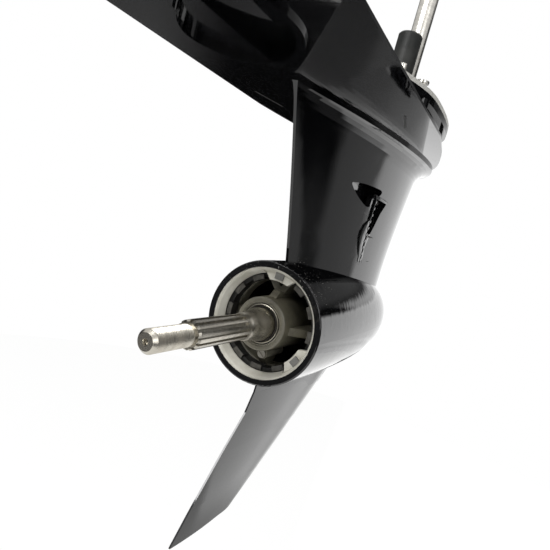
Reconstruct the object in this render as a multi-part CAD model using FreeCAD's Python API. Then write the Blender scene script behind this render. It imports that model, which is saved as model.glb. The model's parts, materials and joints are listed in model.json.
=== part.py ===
import FreeCAD, Part
import math, os

# Outboard lower unit. Millimetres. The origin is where the driveshaft axis meets the top mating face;
# X runs to starboard, Y ahead, Z up. The propeller shaft lies along Y, shaft_drop below the origin.

# main layout
shaft_drop = 255.0
rim_back = 200.0
nose_ahead = 108.0
torpedo_full = 100.0          # where the torpedo is widest, ahead of the rim
skeg_drop = 187.0

# running and seating clearances, on the radius
run_gap = 0.05
seat_gap = 0.03
face_gap = 0.3                # between faces that turn past each other

# strut and skeg
strut_half_top = 39.0
strut_half_low = 31.0
cove_out = 11.0               # how far the cove under the plate reaches out
skeg_root_half = 5.5
skeg_tip_half = 3.0

# anti-ventilation plate
plate_drop = 60.0             # its top face below the mating face
plate_thick = 5.0
plate_edge_thick = 1.8        # at the rim; the top face slopes down to it
plate_slope = 18.0
plate_half = 87.5
ledge_drop = 3.0              # step around the strut, below the plate
plate_aft = 432.0
plate_nose = 134.0

# upper casing and top flange
flange_thick = 12.0
flange_half = 48.0
flange_aft = 140.0
flange_fore = 168.0
casing_inset = 4.0
bolt_span_x = 74.0
bolt_span_y = 104.0
bolt_hole_r = 5.5
dowel_r = 4.0
dowel_long = 16.0

# bore of the torpedo, from the rim forward, and the torpedo around it
carrier_r = 43.4
carrier_front = 30.0          # front face of the carrier behind the driveshaft axis
gear_room_r = carrier_r - 1.0
nut_r = carrier_r + 1.1
nut_long = 14.0
lip_r = carrier_r + 4.9
lip_deep = 12.0
rim_r = lip_r + 5.7
torpedo_r = rim_r + 2.0

# propeller shaft
shaft_r = 12.0
seat_r = 11.5                 # where the propeller's thrust washer sits
journal_r = 14.0              # through the carrier's seals and needles
cone_start = 24.0             # taper from seat to journal, behind the rim
cone_end = 10.0
spline_r = 10.5
spline_root_r = 8.9
spline_count = 13
spline_start = 36.0           # behind the rim
spline_end = 107.0
thread_r = 8.0
shaft_end = 149.2
shaft_front = 55.5
slider_bore_r = 5.0
cup_bore_r = 7.2

# bevel gears
pinion_teeth = 13
pinion_low = 28.0             # above the propeller shaft axis
pinion_top = 49.0
pinion_nut_thick = 6.0
gear_teeth = 26
module = 3.1
face_width = 12.0
backlash = 0.22
gear_hub_r = 20.0
gear_hub_end = 54.0

# dog clutch
jaw_count = 8
jaw_long = 4.0
jaw_in_r = 13.5
jaw_out_r = 20.0
clutch_body_half = 4.5
clutch_throw = 5.0
pin_r = 2.5
clutch_keys = 6
key_half = 2.0
key_root_r = 10.4

# shift rod and crank
rod_ahead = 72.0
rod_r = 5.0
crank_r = 15.0
crank_reach = 11.83
crank_pin_r = 3.0
crank_play = 0.35
rod_above = 46.0
retainer_r = 13.5
retainer_thick = 3.0
rod_seat_r = 11.0
rod_seat_deep = 8.0
retainer_screw = 19.0         # ahead of the rod

# driveshaft, its bearings and seals
drive_r = 10.0
drive_low_r = 12.0
drive_spline_r = 9.6
drive_above = 345.0
drive_spline_teeth = 14
drive_bearing_r = 26.0
drive_cone_r = 12.5
drive_bearing_top = 53.0
drive_bearing_long = 18.0
needle_out_r = 18.0
needle_low = 52.0             # above the propeller shaft axis
needle_long = 20.0

# bearings on the propeller shaft axis
fore_cup_r = 36.0
fore_bearing_start = 34.0
fore_bearing_long = 18.0
ball_out_r = 34.0
ball_bearing_long = 16.0
ball_r = 5.0
ball_count = 11

# water pump in its well
well_half_x = 40.0
well_half_y = 47.0
well_corner = 20.0
well_deep = 33.0
seal_flange_thick = 6.0
gasket_thick = 0.5
wear_thick = 1.0
pump_rise = 8.0
cup_r = 27.0
cup_wall = 1.5
cup_high = 20.0
cup_offset = 1.5
pump_bolt_x = 30.0
pump_bolt_y = 34.0
pump_bolt_r = 3.0
vane_count = 6
impeller_hub_r = 15.0

# water tube seal
tube_back = 28.0
tube_r = 13.0
tube_bore_r = 7.5
tube_top = 61.0
spout_r = 9.5
spout_top = 22.0

# exhaust duct
duct_aft = 113.0
duct_fore = 66.0
duct_half = 15.0

# bearing carrier
hub_r = 23.0
hub_back = 203.0
rib_count = 4
rib_thick = 7.0
rib_first = 90.0
fork_r = 29.0                 # where the upper rib forks
fork_spread = (16.0, -10.0)   # degrees to each side at the ring
seal_r = 19.0
seal_long = 7.0
screw_reach = hub_r + 4.3     # small slotted screw, from the shaft axis
screw_angle = -82.0
screw_deep = 13.2             # its seat, ahead of the hub's end
needle_bore_r = 18.5
needle_back = 23.0            # carrier needle bearing, ahead of the hub's end
needle_run = 28.0

V = FreeCAD.Vector
X, Y, Z = V(1, 0, 0), V(0, 1, 0), V(0, 0, 1)
axis_z = -shaft_drop


def post(r, z0, z1, x=0.0, y=0.0):
    return Part.makeCylinder(r, z1 - z0, V(x, y, z0), Z)


def bar(r, y0, y1, x=0.0, z=0.0):
    """A round bar along the propeller shaft direction; x and z are off the shaft axis."""
    return Part.makeCylinder(r, y1 - y0, V(x, y0, axis_z + z), Y)


def box(x0, x1, y0, y1, z0, z1):
    return Part.makeBox(x1 - x0, y1 - y0, z1 - z0, V(x0, y0, z0))


def turned_y(profile):
    """Revolve (y, radius) points about the propeller shaft axis."""
    pts = [V(r, y, axis_z) for y, r in profile]
    face = Part.Face(Part.makePolygon(pts + pts[:1]))
    return face.revolve(V(0, 0, axis_z), Y, 360)


def turned_z(profile, x=0.0, y=0.0):
    """Revolve (height, radius) points about an upright axis."""
    pts = [V(x + r, y, z) for z, r in profile]
    face = Part.Face(Part.makePolygon(pts + pts[:1]))
    return face.revolve(V(x, y, 0), Z, 360)


def around_shaft(shape, degrees):
    out = shape.copy()
    out.rotate(V(0, 0, axis_z), Y, degrees)
    return out


def around_post(shape, degrees, x=0.0, y=0.0):
    out = shape.copy()
    out.rotate(V(x, y, 0), Z, degrees)
    return out


def mirrored(shape):
    return shape.mirror(V(0, 0, 0), X)


def fused(shapes):
    shapes = list(shapes)
    out = shapes[0].multiFuse(shapes[1:]) if len(shapes) > 1 else shapes[0]
    return out.removeSplitter()


def group(shapes):
    return Part.makeCompound(list(shapes))


def prism(points, direction):
    return Part.Face(Part.makePolygon(points + points[:1])).extrude(direction)


def rounded_rect(half_x, half_y, corner, z, y=0.0):
    slab = box(-half_x, half_x, y - half_y, y + half_y, z, z + 1)
    upright = [e for e in slab.Edges if abs(e.Vertexes[0].Z - e.Vertexes[-1].Z) > 0.5]
    slab = slab.makeFillet(corner, upright)
    return [f for f in slab.Faces if abs(f.CenterOfMass.z - z) < 1e-6][0]


def hexagon(flat, z0, z1, x=0.0, y=0.0):
    corner = flat / 2 / math.cos(math.pi / 6)
    pts = [V(x + corner * math.cos(math.radians(60 * k)), y + corner * math.sin(math.radians(60 * k)), z0)
           for k in range(6)]
    return prism(pts, V(0, 0, z1 - z0))


# Outlines

# side shape of the strut: share of the chord from the trailing edge, share of the half width
strut_form = [(0.05, 0.125), (0.12, 0.29), (0.20, 0.47), (0.30, 0.66), (0.40, 0.81), (0.52, 0.94),
              (0.64, 1.0), (0.76, 0.95), (0.86, 0.77), (0.94, 0.50), (0.985, 0.23)]
casing_form = [(0.015, 0.20), (0.06, 0.38), (0.13, 0.56), (0.21, 0.76), (0.30, 0.93), (0.42, 1.0),
               (0.58, 1.0), (0.72, 0.93), (0.84, 0.76), (0.93, 0.50), (0.98, 0.26)]


def closed_section(form, z, aft, fore, half, tail=1.2):
    """A symmetric section in plan, blunt at the front, with a thin flat tail."""
    chord = fore - aft
    side = [V(tail, aft, z)] + [V(max(tail, half * w), aft + chord * s, z) for s, w in form]
    port = [V(-p.x, p.y, p.z) for p in reversed(side)]
    skin = Part.BSplineCurve()
    skin.interpolate(side + [V(0, fore, z)] + port)
    return Part.Wire([skin.toShape(), Part.makeLine(port[-1], side[0])])


def trail_at(h):
    """Strut trailing edge, given the height above the shaft axis."""
    return -rim_back + 40 - 0.40 * h - 0.00052 * h * h


def lead_at(h):
    return 84 + 0.02 * h + 0.00075 * h * h


def half_at(h):
    t = min(max((h - 60) / 125.0, 0), 1)
    return strut_half_low + (strut_half_top - strut_half_low) * t ** 1.4


plate_under = -plate_drop - plate_thick
plate_high = shaft_drop + plate_under


# Gearcase housing

def torpedo():
    full_y = -rim_back + torpedo_full
    pts = []
    for k in range(13):
        t = k / 12.0
        y = full_y + (nose_ahead - full_y) * math.sin(t * math.pi / 2) ** 0.9
        r = torpedo_r * math.sqrt(max(1 - ((y - full_y) / (nose_ahead - full_y)) ** 3, 0))
        pts.append(V(r, y, axis_z))
    pts[-1] = V(0, nose_ahead, axis_z)
    aft = V(rim_r, -rim_back + 1.5, axis_z)
    skin = Part.BSplineCurve()
    skin.interpolate([aft, V(rim_r + 1.3, -rim_back + 50, axis_z)] + pts)
    rim_in = V(rim_r - 1.5, -rim_back, axis_z)
    edge = Part.Arc(rim_in, V(rim_r - 0.44, -rim_back + 0.44, axis_z), aft).toShape()
    wire = Part.Wire([edge, skin.toShape(), Part.makeLine(pts[-1], V(0, -rim_back, axis_z)),
                      Part.makeLine(V(0, -rim_back, axis_z), rim_in)])
    return Part.Face(wire).revolve(V(0, 0, axis_z), Y, 360)


def strut():
    ledge_high = plate_high - ledge_drop
    low = [12.0, 44.0, 75.0, 110.0, 148.0, ledge_high - cove_out - 4]
    sections = [closed_section(strut_form, axis_z + h, trail_at(h), lead_at(h), half_at(h)) for h in low]
    body = Part.makeLoft(sections, True, False)
    cove = []
    for k in range(6):
        a = k / 5.0 * math.pi / 2
        out = (cove_out + 4) * (1 - math.cos(a))
        h = low[-1] + (cove_out + 4) * math.sin(a) + (0.5 if k == 5 else 0)
        h0 = min(h, ledge_high)
        cove.append(closed_section(strut_form, axis_z + h, trail_at(h0) - 0.1 * out,
                                   lead_at(h0) + 0.6 * out,
                                   half_at(h0) + out, 1.2 + 0.08 * out))
    ledge = Part.Face(cove[-1]).extrude(V(0, 0, ledge_drop))
    return body, Part.makeLoft(cove, True, True).fuse(ledge)


def skeg():
    # heights below the axis with the trailing and leading edge of the blade
    trail = [(46.0, 26.0), (68.0, 24.0), (86.0, 17.0), (118.0, -8.0), (159.0, -37.0),
             (skeg_drop - 1, -54.5)]
    sections = []
    for drop, y in trail:
        lead = 41 + (skeg_drop - drop) * 1.62
        if drop > skeg_drop - 2:
            lead = 42
        half = skeg_tip_half + (skeg_root_half - skeg_tip_half) * (skeg_drop - drop) / (skeg_drop - 46.0)
        sections.append(blade_section(axis_z - drop, y - rim_back, lead - rim_back, half))
    return Part.makeLoft(sections, True, True)


def blade_section(z, aft, fore, half):
    chord = fore - aft
    side = [V(0.8, aft, z), V(half * 0.75, aft + 0.22 * chord, z), V(half, aft + 0.5 * chord, z),
            V(half * 0.93, aft + 0.75 * chord, z), V(half * 0.5, aft + 0.95 * chord, z)]
    port = [V(-p.x, p.y, p.z) for p in reversed(side)]
    skin = Part.BSplineCurve()
    skin.interpolate(side + [V(0, fore, z)] + port)
    return Part.Wire([skin.toShape(), Part.makeLine(port[-1], side[0])])


# front half of the plate: share of its half width, share of its reach ahead of the driveshaft
plate_form = [(1.0, -1.12), (0.925, -0.716), (0.827, -0.336), (0.642, 0.149), (0.399, 0.567),
              (0.168, 0.910)]


def plate_outline(inset, z):
    half, aft, nose_y = plate_half - inset, plate_aft - inset, plate_nose - inset
    front = [V(half * wide, nose_y * ahead, z) for wide, ahead in plate_form]
    port = [V(-p.x, p.y, z) for p in reversed(front)]
    nose = Part.BSplineCurve()
    nose.interpolate(front + [V(0, nose_y, z)] + port)
    round_r = half * 0.53
    a0 = V(half, -aft + round_r, z)
    a1 = V(half - round_r, -aft, z)
    s = round_r * (1 - math.sqrt(0.5))
    arc = Part.Arc(a0, V(half - s, -aft + s, z), a1).toShape()
    b0, b1 = V(-a0.x, a0.y, z), V(-a1.x, a1.y, z)
    arc_port = Part.Arc(b1, V(-half + s, -aft + s, z), b0).toShape()
    return Part.Wire([Part.makeLine(front[0], a0), arc, Part.makeLine(a1, b1), arc_port,
                      Part.makeLine(b0, port[-1]), nose.toShape()])


def plate():
    """Flat underneath, thin at the rim, thicker inward of the sloped border on top."""
    slab = Part.Face(plate_outline(0, plate_under)).extrude(V(0, 0, plate_edge_thick))
    border = Part.makeLoft([plate_outline(0, plate_under + plate_edge_thick),
                            plate_outline(plate_slope, -plate_drop)], True, True)
    return slab.fuse(border)


def tail_recess_outline(grow, z):
    """Oval in the plate, around the place of the trim tab."""
    pts = [(-39, -150), (-53, -129), (-58, -110), (-52, -90), (-36, -77), (-8, -78), (16, -92),
           (35, -117),
           (43, -140), (42, -165), (30, -190), (0, -203), (-26, -190)]
    cx, cy = -6.0, -138.0
    placed = [V(cx + (x - cx) * (1 + grow / 46.0), cy + (y - cy) * (1 + grow / 60.0) - rim_back, z) for x,
              y in pts]
    ring = Part.BSplineCurve()
    ring.interpolate(placed, PeriodicFlag=True)
    return Part.Wire([ring.toShape()])


def bolt_places():
    return [(sx * bolt_span_x / 2, sy * bolt_span_y / 2) for sx in (-1, 1) for sy in (-1, 1)]


def flange_outline(inset, z):
    return closed_section(casing_form, z, -flange_aft + inset, flange_fore - inset, flange_half - inset,
                          5.0)


def upper_casing():
    top = Part.Face(flange_outline(0, -flange_thick)).extrude(V(0, 0, flange_thick))
    low = closed_section(casing_form, -plate_drop - 2, -flange_aft - 20, flange_fore - 8, flange_half - 5,
                         4.0)
    mid = flange_outline(casing_inset, -flange_thick - 4)
    cap = flange_outline(casing_inset, -flange_thick + 0.5)
    body = Part.makeLoft([low, mid, cap], True, True)
    bosses = [post(9.0, -plate_drop - 1, -flange_thick + 1, x, y) for x, y in bolt_places()]
    pockets = []
    for x, y in bolt_places():
        away = 1 if y > 0 else -1
        near, far = sorted([y - away * 4, y + away * 19])
        pocket = box(bolt_span_x / 2 - 4, flange_half + 22, near, far, -plate_drop + 10, -flange_thick)
        pockets.append(pocket if x > 0 else mirrored(pocket))
    return top, body, bosses, pockets


# corners ahead of the rim and above the shaft axis
intake_corners = [(114, 136), (152, 135), (144, 121), (140, 106), (135, 92), (134, 82), (141, 67),
                  (130, 67),
                  (126, 80), (122, 94), (118, 110), (113, 124)]
scoop_corners = [(64, 139), (80, 141.5), (110, 143), (128, 141), (118, 130), (112, 124), (94, 125),
                 (78, 130)]
scoop_floor = 18.5            # from the centre plane
intake_seat = 22.5            # floor of the intake pocket from the centre plane
grille_thick = 3.0


def intake_pocket(grow, x0, x1):
    cy, cz = 129.0, 104.0
    pts = [V(x0, cy + (y - cy) * (1 + grow / 22.0) - rim_back, axis_z + cz + (z - cz) * (1 + grow / 37.0))
           for y, z in intake_corners]
    return prism(pts, V(x1 - x0, 0, 0))


def scoop():
    """Leaf shaped hollow that leads the water from behind into the intake pocket."""
    leaf = Part.BSplineCurve()
    leaf.interpolate([V(scoop_floor, y - rim_back, axis_z + z) for y, z in scoop_corners],
                     PeriodicFlag=True)
    return Part.Face(Part.Wire([leaf.toShape()])).extrude(V(45, 0, 0))


def housing():
    body, cove = strut()
    top, casing, bosses, pockets = upper_casing()
    solid = fused([torpedo(), body, cove, skeg(), plate(), casing])
    solid = solid.cut(group(pockets))
    solid = fused([solid, top] + bosses)

    # trim tab recess under the plate, with a raised double rim
    rim = Part.Face(tail_recess_outline(0, plate_under - 2.2)).extrude(V(0, 0, 4))
    rim_mid = Part.Face(tail_recess_outline(-3.0, plate_under - 3)).extrude(V(0, 0, 5))
    inner = Part.Face(tail_recess_outline(-2.0, plate_under - 2.2)).extrude(V(0, 0, 4))
    inner_mid = Part.Face(tail_recess_outline(-5.5, plate_under - 3)).extrude(V(0, 0, 5))
    roof = Part.Face(tail_recess_outline(3.0, -plate_drop - 1)).extrude(V(0, 0, 12.0))
    floor = Part.Face(tail_recess_outline(-5.5, plate_under - 3)).extrude(V(0, 0, 3 + plate_thick + 6.0))
    port_half = box(-70, -11, -rim_back - 210, -rim_back - 70, plate_under - 5, -plate_drop - 1)
    star_half = box(-8, 70, -rim_back - 210, -rim_back - 70, plate_under - 5, -plate_drop + 6)
    solid = fused([solid, rim.cut(rim_mid), inner.cut(inner_mid), roof])
    solid = solid.cut(floor.common(port_half)).cut(floor.common(star_half))

    cuts = []
    # torpedo bore, from the rim forward
    cuts.append(turned_y([(-rim_back - 1, 0), (-rim_back - 1, lip_r), (-rim_back + lip_deep, lip_r),
                          (-rim_back + lip_deep, nut_r), (-rim_back + lip_deep + nut_long, nut_r),
                          (-rim_back + lip_deep + nut_long, carrier_r + seat_gap),
                          (-carrier_front, carrier_r + seat_gap),
                          (-carrier_front, gear_room_r), (fore_bearing_start, gear_room_r),
                          (fore_bearing_start, fore_cup_r),
                          (fore_bearing_start + fore_bearing_long, fore_cup_r),
                          (fore_bearing_start + fore_bearing_long, 31.0),
                          (fore_bearing_start + fore_bearing_long + 4, 31.0),
                          (fore_bearing_start + fore_bearing_long + 4, 22.0), (rod_ahead + 17, 22.0),
                          (rod_ahead + 17, 0)]))
    # driveshaft bore, from the pinion room up to the pump well
    cuts.append(turned_z([(axis_z, 0), (axis_z, 26.5), (axis_z + needle_low, 26.5),
                          (axis_z + needle_low, needle_out_r),
                          (axis_z + needle_low + needle_long, needle_out_r),
                          (axis_z + needle_low + needle_long, 15.0),
                          (-drive_bearing_top - drive_bearing_long - 1, 15.0),
                          (-drive_bearing_top - drive_bearing_long - 1, 22.0),
                          (-drive_bearing_top - drive_bearing_long, 22.0),
                          (-drive_bearing_top - drive_bearing_long, drive_bearing_r),
                          (-well_deep + 1, drive_bearing_r), (-well_deep + 1, 0)]))
    cuts.append(rounded_rect(well_half_x, well_half_y, well_corner,
                             -well_deep).extrude(V(0, 0, well_deep + 1)))
    for x, y in pump_bolts():
        cuts.append(post(pump_bolt_r, -well_deep - 14, -well_deep + 1, x, y))
    # shift rod bore
    cuts.append(post(rod_r + run_gap, axis_z + 10, 1, 0, rod_ahead))
    cuts.append(post(rod_seat_r, -rod_seat_deep, 1, 0, rod_ahead))
    cuts.append(retainer_plate(seat_gap, 1))
    cuts.append(post(retainer_screw_r, -12, 1, 0, rod_ahead + retainer_screw))
    # exhaust duct from the mating face down to the torpedo
    duct_mid = (duct_aft + duct_fore) / 2
    duct = [V(-duct_half + 4, -duct_aft, 0), V(duct_half - 4, -duct_aft, 0), V(duct_half, -duct_mid, 0),
            V(duct_half, -duct_fore, 0), V(-duct_half, -duct_fore, 0), V(-duct_half, -duct_mid, 0)]
    duct = [V(p.x, p.y, axis_z + 30) for p in duct]
    cuts.append(prism(duct, V(0, 0, shaft_drop - 29)))
    # water channel from the intakes up to the pump well
    cuts.append(box(-12, 12, -rim_back + 143, -rim_back + 160, axis_z + 66, -well_deep + 1))
    window = box(-40, 40, -rim_back + 143, -rim_back + 152, axis_z + 76, axis_z + 130)
    cuts.append(window.common(intake_pocket(-3.0, -45, 90)))
    gallery = intake_pocket(-3.0, scoop_floor, intake_seat + 1)
    for x, y, z in grille_screws():
        if x > 0:
            gallery = gallery.cut(Part.makeCylinder(3.6, intake_seat - x, V(x, y, z), X))
    for hollow in (intake_pocket(0, intake_seat, 60), gallery, scoop()):
        cuts.append(hollow)
        cuts.append(mirrored(hollow))
    # bolt and dowel holes of the flange
    for x, y in bolt_places():
        cuts.append(post(bolt_hole_r, -plate_drop - 3, 1, x, y))
    for x, y in dowel_places():
        cuts.append(post(dowel_r, -dowel_long / 2, 1, x, y))
    # plugs on the port side
    cuts.append(plug_hole(plug_low))
    cuts.append(plug_hole(plug_high))
    for x, y, z in grille_screws():
        cuts.append(Part.makeCylinder(1.6, 9, V(x, y, z), X if x > 0 else -X))
    for c in cuts:
        solid = solid.cut(c)
    # the casting is split where the ledge meets the plate; the recess rims stay with the plate
    below = box(-100, 100, -rim_back - 68, nose_ahead + 60, axis_z - skeg_drop - 10, plate_under)
    return solid.common(below), solid.cut(below)


def pump_bolts():
    return [(sx * pump_bolt_x, sy * pump_bolt_y) for sx in (-1, 1) for sy in (-1, 1)]


def dowel_places():
    return [(-22.0, flange_fore - 42.0), (22.0, -flange_aft + 47.0)]


# plug axis start on the centre plane, depth of the seat from it, height above the shaft axis, place ahead
plug_low = (32.0, 66.0, -16.0)
plug_high = (36.0, 24.0, 120.0)
plug_r = 4.0
plug_head_r = 7.5


def plug_hole(place):
    seat, ahead, h = place
    hole = Part.makeCylinder(plug_r, seat - 10, V(-8, ahead, axis_z + h), -X)
    spot = Part.makeCylinder(plug_head_r + 1.0, 40, V(-seat + 4.0, ahead, axis_z + h), -X)
    return fused([hole, spot])


def grille_screws():
    places = []
    for s in (1, -1):
        for y, z in ((141.0, 131.5), (135.0, 71.5)):
            places.append((s * (intake_seat - 6), y - rim_back, axis_z + z))
    return places


# Propeller shaft and what turns with it

def shaft_splines(root_r, out_r, count, y0, y1):
    """The grooves between the splines, as one cutter."""
    width = math.pi * (root_r + out_r) / count * 0.47
    groove = box(-width / 2, width / 2, y0, y1, axis_z + root_r, axis_z + out_r + 3)
    return group([around_shaft(groove, 360.0 * k / count) for k in range(count)])


def propeller_shaft():
    end, thread_top = -rim_back - shaft_end, -rim_back - spline_end
    spline_top, collar = -rim_back - spline_start, -gear_hub_end - 2
    journal_front = -hub_back + needle_back + needle_run + 4
    body = turned_y([(end, 0), (end, thread_r - 2.2), (end + 2.5, thread_r), (thread_top - 3, thread_r),
                     (thread_top - 2.5, thread_r - 0.8), (thread_top, thread_r - 0.8),
                     (thread_top, spline_r - 1.2),
                     (thread_top + 1.6, spline_r), (spline_top, spline_r), (spline_top + 3, seat_r),
                     (-rim_back - cone_start, seat_r), (-rim_back - cone_end, journal_r),
                     (journal_front, journal_r),
                     (journal_front + 2, shaft_r), (collar - 4, shaft_r), (collar - 4, shaft_r + 3),
                     (collar, shaft_r + 3), (collar, shaft_r),
                     (shaft_front - 1.5, shaft_r), (shaft_front, shaft_r - 1.5), (shaft_front, 0)])
    body = body.cut(shaft_splines(spline_root_r, spline_r, spline_count, thread_top - 1, spline_top - 4))
    body = body.cut(turned_y([(end - 1, 0), (end - 1, 2.6), (end + 1.6, 1.6), (end + 8, 1.6),
                              (end + 9, 0)]))
    body = body.cut(bar(slider_bore_r + run_gap, -14, shaft_front + 1))
    body = body.cut(bar(cup_bore_r, 22, shaft_front + 1))
    slot = box(-20, 20, -clutch_throw - pin_r - 0.5, clutch_throw + pin_r + 0.5,
               axis_z - pin_r - run_gap, axis_z + pin_r + run_gap)
    return body.cut(slot).cut(key_cutter(key_root_r, shaft_r + 1, 0))


def key_cutter(root_r, out_r, grow):
    """What is taken off the shaft between its clutch keys."""
    half_len = clutch_body_half + 4.0 + clutch_throw + 0.3
    ring = bar(out_r, -half_len, half_len).cut(bar(root_r, -half_len - 1, half_len + 1))
    key = box(-key_half, key_half, -half_len - 1, half_len + 1, axis_z, axis_z + out_r + 2)
    keys = group([around_shaft(key, 30 + 360.0 * k / clutch_keys) for k in range(clutch_keys)])
    return ring.cut(keys)


def jaws(y_root, y_tip, phase):
    wide = 360.0 / jaw_count * 0.44
    lo, hi = sorted([y_root, y_tip])
    blocks = []
    for k in range(jaw_count):
        a = phase + 360.0 * k / jaw_count
        wedge = Part.makeCylinder(jaw_out_r, hi - lo, V(0, lo, axis_z), Y, wide)
        wedge = wedge.cut(bar(jaw_in_r, lo - 1, hi + 1))
        blocks.append(around_shaft(wedge, a - wide / 2))
    return blocks


def dog_clutch():
    body = bar(jaw_out_r, -clutch_body_half, clutch_body_half)
    reach = clutch_body_half + jaw_long
    body = fused([body] + jaws(clutch_body_half - 0.5, reach, 0) + jaws(-clutch_body_half + 0.5, -reach,
                                                                        0))
    bore = bar(key_root_r + run_gap, -reach - 1, reach + 1)
    key = box(-key_half - run_gap, key_half + run_gap, -reach - 1, reach + 1, axis_z,
              axis_z + shaft_r + run_gap + 0.05)
    keys = [around_shaft(key, 30 + 360.0 * k / clutch_keys) for k in range(clutch_keys)]
    body = body.cut(fused([bore] + keys))
    body = body.cut(bar(jaw_out_r + 1, -1.4, 1.4).cut(bar(jaw_out_r - 1.8, -2, 2)))
    return body.cut(cross_pin(seat_gap, jaw_out_r + 1))


def cross_pin(grow, half):
    return Part.makeCylinder(pin_r + grow, 2 * half, V(-half, 0, axis_z), X)


def clutch_plunger():
    body = turned_y([(-8.5, 0), (-8.5, slider_bore_r - 1), (-7.5, slider_bore_r), (29.5, slider_bore_r),
                     (29.5, 2.2),
                     (33, 2.2), (33, 4.0), (36, 4.0), (36, 0)])
    return body.cut(cross_pin(seat_gap, 20))


slider_front = rod_ahead + 8.0


def shift_slider():
    cup = bar(cup_bore_r - 0.2, 29.9, rod_ahead - 6)
    cup = cup.cut(bar(2.4, 29, 33)).cut(bar(4.25, 32.9, 36.1))
    side_way = box(-10, 0, 29, 32.95, axis_z - 2.4, axis_z + 2.4)
    side_room = box(-10, 0, 32.9, 36.1, axis_z - 4.25, axis_z + 4.25)
    block = box(-8, crank_reach + 5.5, rod_ahead - 7.5, slider_front, axis_z - 5, axis_z + 3.5)
    half = crank_pin_r + crank_play
    slot = box(crank_reach - 4.5, crank_reach + 7, rod_ahead - half, rod_ahead + half, axis_z - 6,
               axis_z + 5)
    return fused([cup.cut(side_way).cut(side_room), block]).cut(slot)


def shift_crank():
    low = axis_z + cup_bore_r + 0.6
    disc = post(crank_r, low, low + 4, 0, rod_ahead)
    disc = disc.cut(box(-20, -5, rod_ahead - 20, rod_ahead + 20, low - 1, low + 5))
    hub = post(9.0, low + 3.5, axis_z + 20, 0, rod_ahead)
    pin = post(crank_pin_r, axis_z - 4, low + 1, crank_reach, rod_ahead)
    body = fused([disc, hub, pin])
    return body.cut(square_end(low - 1, axis_z + 21, seat_gap))


def square_end(z0, z1, grow):
    half = 3.4 + grow
    return box(-half, half, rod_ahead - half, rod_ahead + half, z0, z1)


def shift_rod():
    low = axis_z + 20.3
    body = post(rod_r, low, rod_above, 0, rod_ahead)
    body = fused([body, square_end(axis_z + 9, low + 0.5, 0),
                  post(rod_r + 3, rod_above - 3, rod_above, 0, rod_ahead)])
    flat = box(2.2, 10, rod_ahead - 10, rod_ahead + 10, rod_above - 16, rod_above - 3)
    groove = post(rod_r + 1, -5.5, -3.2, 0, rod_ahead).cut(post(rod_r - 0.9, -6, -3, 0, rod_ahead))
    return body.cut(flat).cut(groove)


def rod_retainer():
    plug = post(rod_seat_r - seat_gap, -rod_seat_deep, 0, 0, rod_ahead)
    body = fused([plug, retainer_plate(0, 0)]).cut(post(rod_r + run_gap, -rod_seat_deep - 1, 1, 0,
                                                        rod_ahead))
    return body.cut(post(retainer_screw_r + seat_gap, -retainer_thick - 1, 1, 0,
                         rod_ahead + retainer_screw))


retainer_screw_r = 2.5


def retainer_plate(grow, above):
    """The retainer's flange with its ear, sunk into the mating face."""
    cap = post(retainer_r + grow, -retainer_thick, above, 0, rod_ahead)
    end = post(6.0 + grow, -retainer_thick, above, 0, rod_ahead + retainer_screw)
    neck = box(-6 - grow, 6 + grow, rod_ahead + 8, rod_ahead + retainer_screw, -retainer_thick, above)
    return fused([cap, end, neck])


def rod_screw():
    y = rod_ahead + retainer_screw
    head = post(4.3, 0, 2.4, 0, y)
    slot = box(-5, 5, y - 0.6, y + 0.6, 1.3, 3)
    return fused([head, post(retainer_screw_r, -12, 0.5, 0, y)]).cut(slot)


def rod_boot():
    return turned_z([(0, rod_r + 0.3), (0, 11), (3, 11), (4.5, 8.8), (6.5, 9.8), (8.5, 8), (10.5, 9),
                     (12.5, 7.2),
                     (16, 7.2), (16, rod_r + 0.3)], 0, rod_ahead)


# Bevel gears

pinion_cone = math.atan2(pinion_teeth, gear_teeth)
gear_cone = math.pi / 2 - pinion_cone
cone_dist = module * gear_teeth / 2 / math.sin(gear_cone)
small_end = (cone_dist - face_width) / cone_dist


def bevel_tooth(teeth, cone):
    """One tooth on the back cone, its flanks followed to the apex at zero; the gear axis is +Z."""
    flat_teeth = teeth / math.cos(cone)
    pitch = module * flat_teeth / 2
    base = pitch * math.cos(math.radians(20))
    root, tip = pitch - 1.2 * module - 0.5, pitch + module
    rise = math.tan(math.radians(20)) - math.radians(20)
    flank = []
    for k in range(6):
        radius = root + (tip - root) * k / 5.0
        press = math.acos(min(1, base / max(radius, base)))
        half = math.pi / 2 / flat_teeth - backlash / 2 / pitch + rise - (math.tan(press) - press)
        flank.append((radius, half))
    corners = [(r, a) for r, a in flank] + [(r, -a) for r, a in reversed(flank)]
    far, near = [], []
    for r, a in corners:
        turn = a / math.cos(cone)
        ray = V(r * math.cos(cone) * math.cos(turn), r * math.cos(cone) * math.sin(turn),
                cone_dist / math.cos(cone) - r * math.sin(cone))
        scale = cone_dist / (ray.x * math.sin(cone) + ray.z * math.cos(cone))
        far.append(ray * scale)
        near.append(ray * (scale * small_end))
    wires = [Part.makePolygon(p + p[:1]) for p in (far, near)]
    return Part.makeLoft(wires, True, True)


def root_point(teeth, cone, share=1.0):
    pitch = cone_dist * math.tan(cone)
    r = pitch - 1.2 * module
    return (share * (cone_dist / math.cos(cone) - r * math.sin(cone)), share * r * math.cos(cone))


def bevel_gear(teeth, cone, blank):
    tooth = bevel_tooth(teeth, cone)
    ring = []
    for k in range(teeth):
        one = tooth.copy()
        one.rotate(V(0, 0, 0), Z, 360.0 * k / teeth)
        ring.append(one)
    return fused([turned_z(blank)] + ring)


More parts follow.
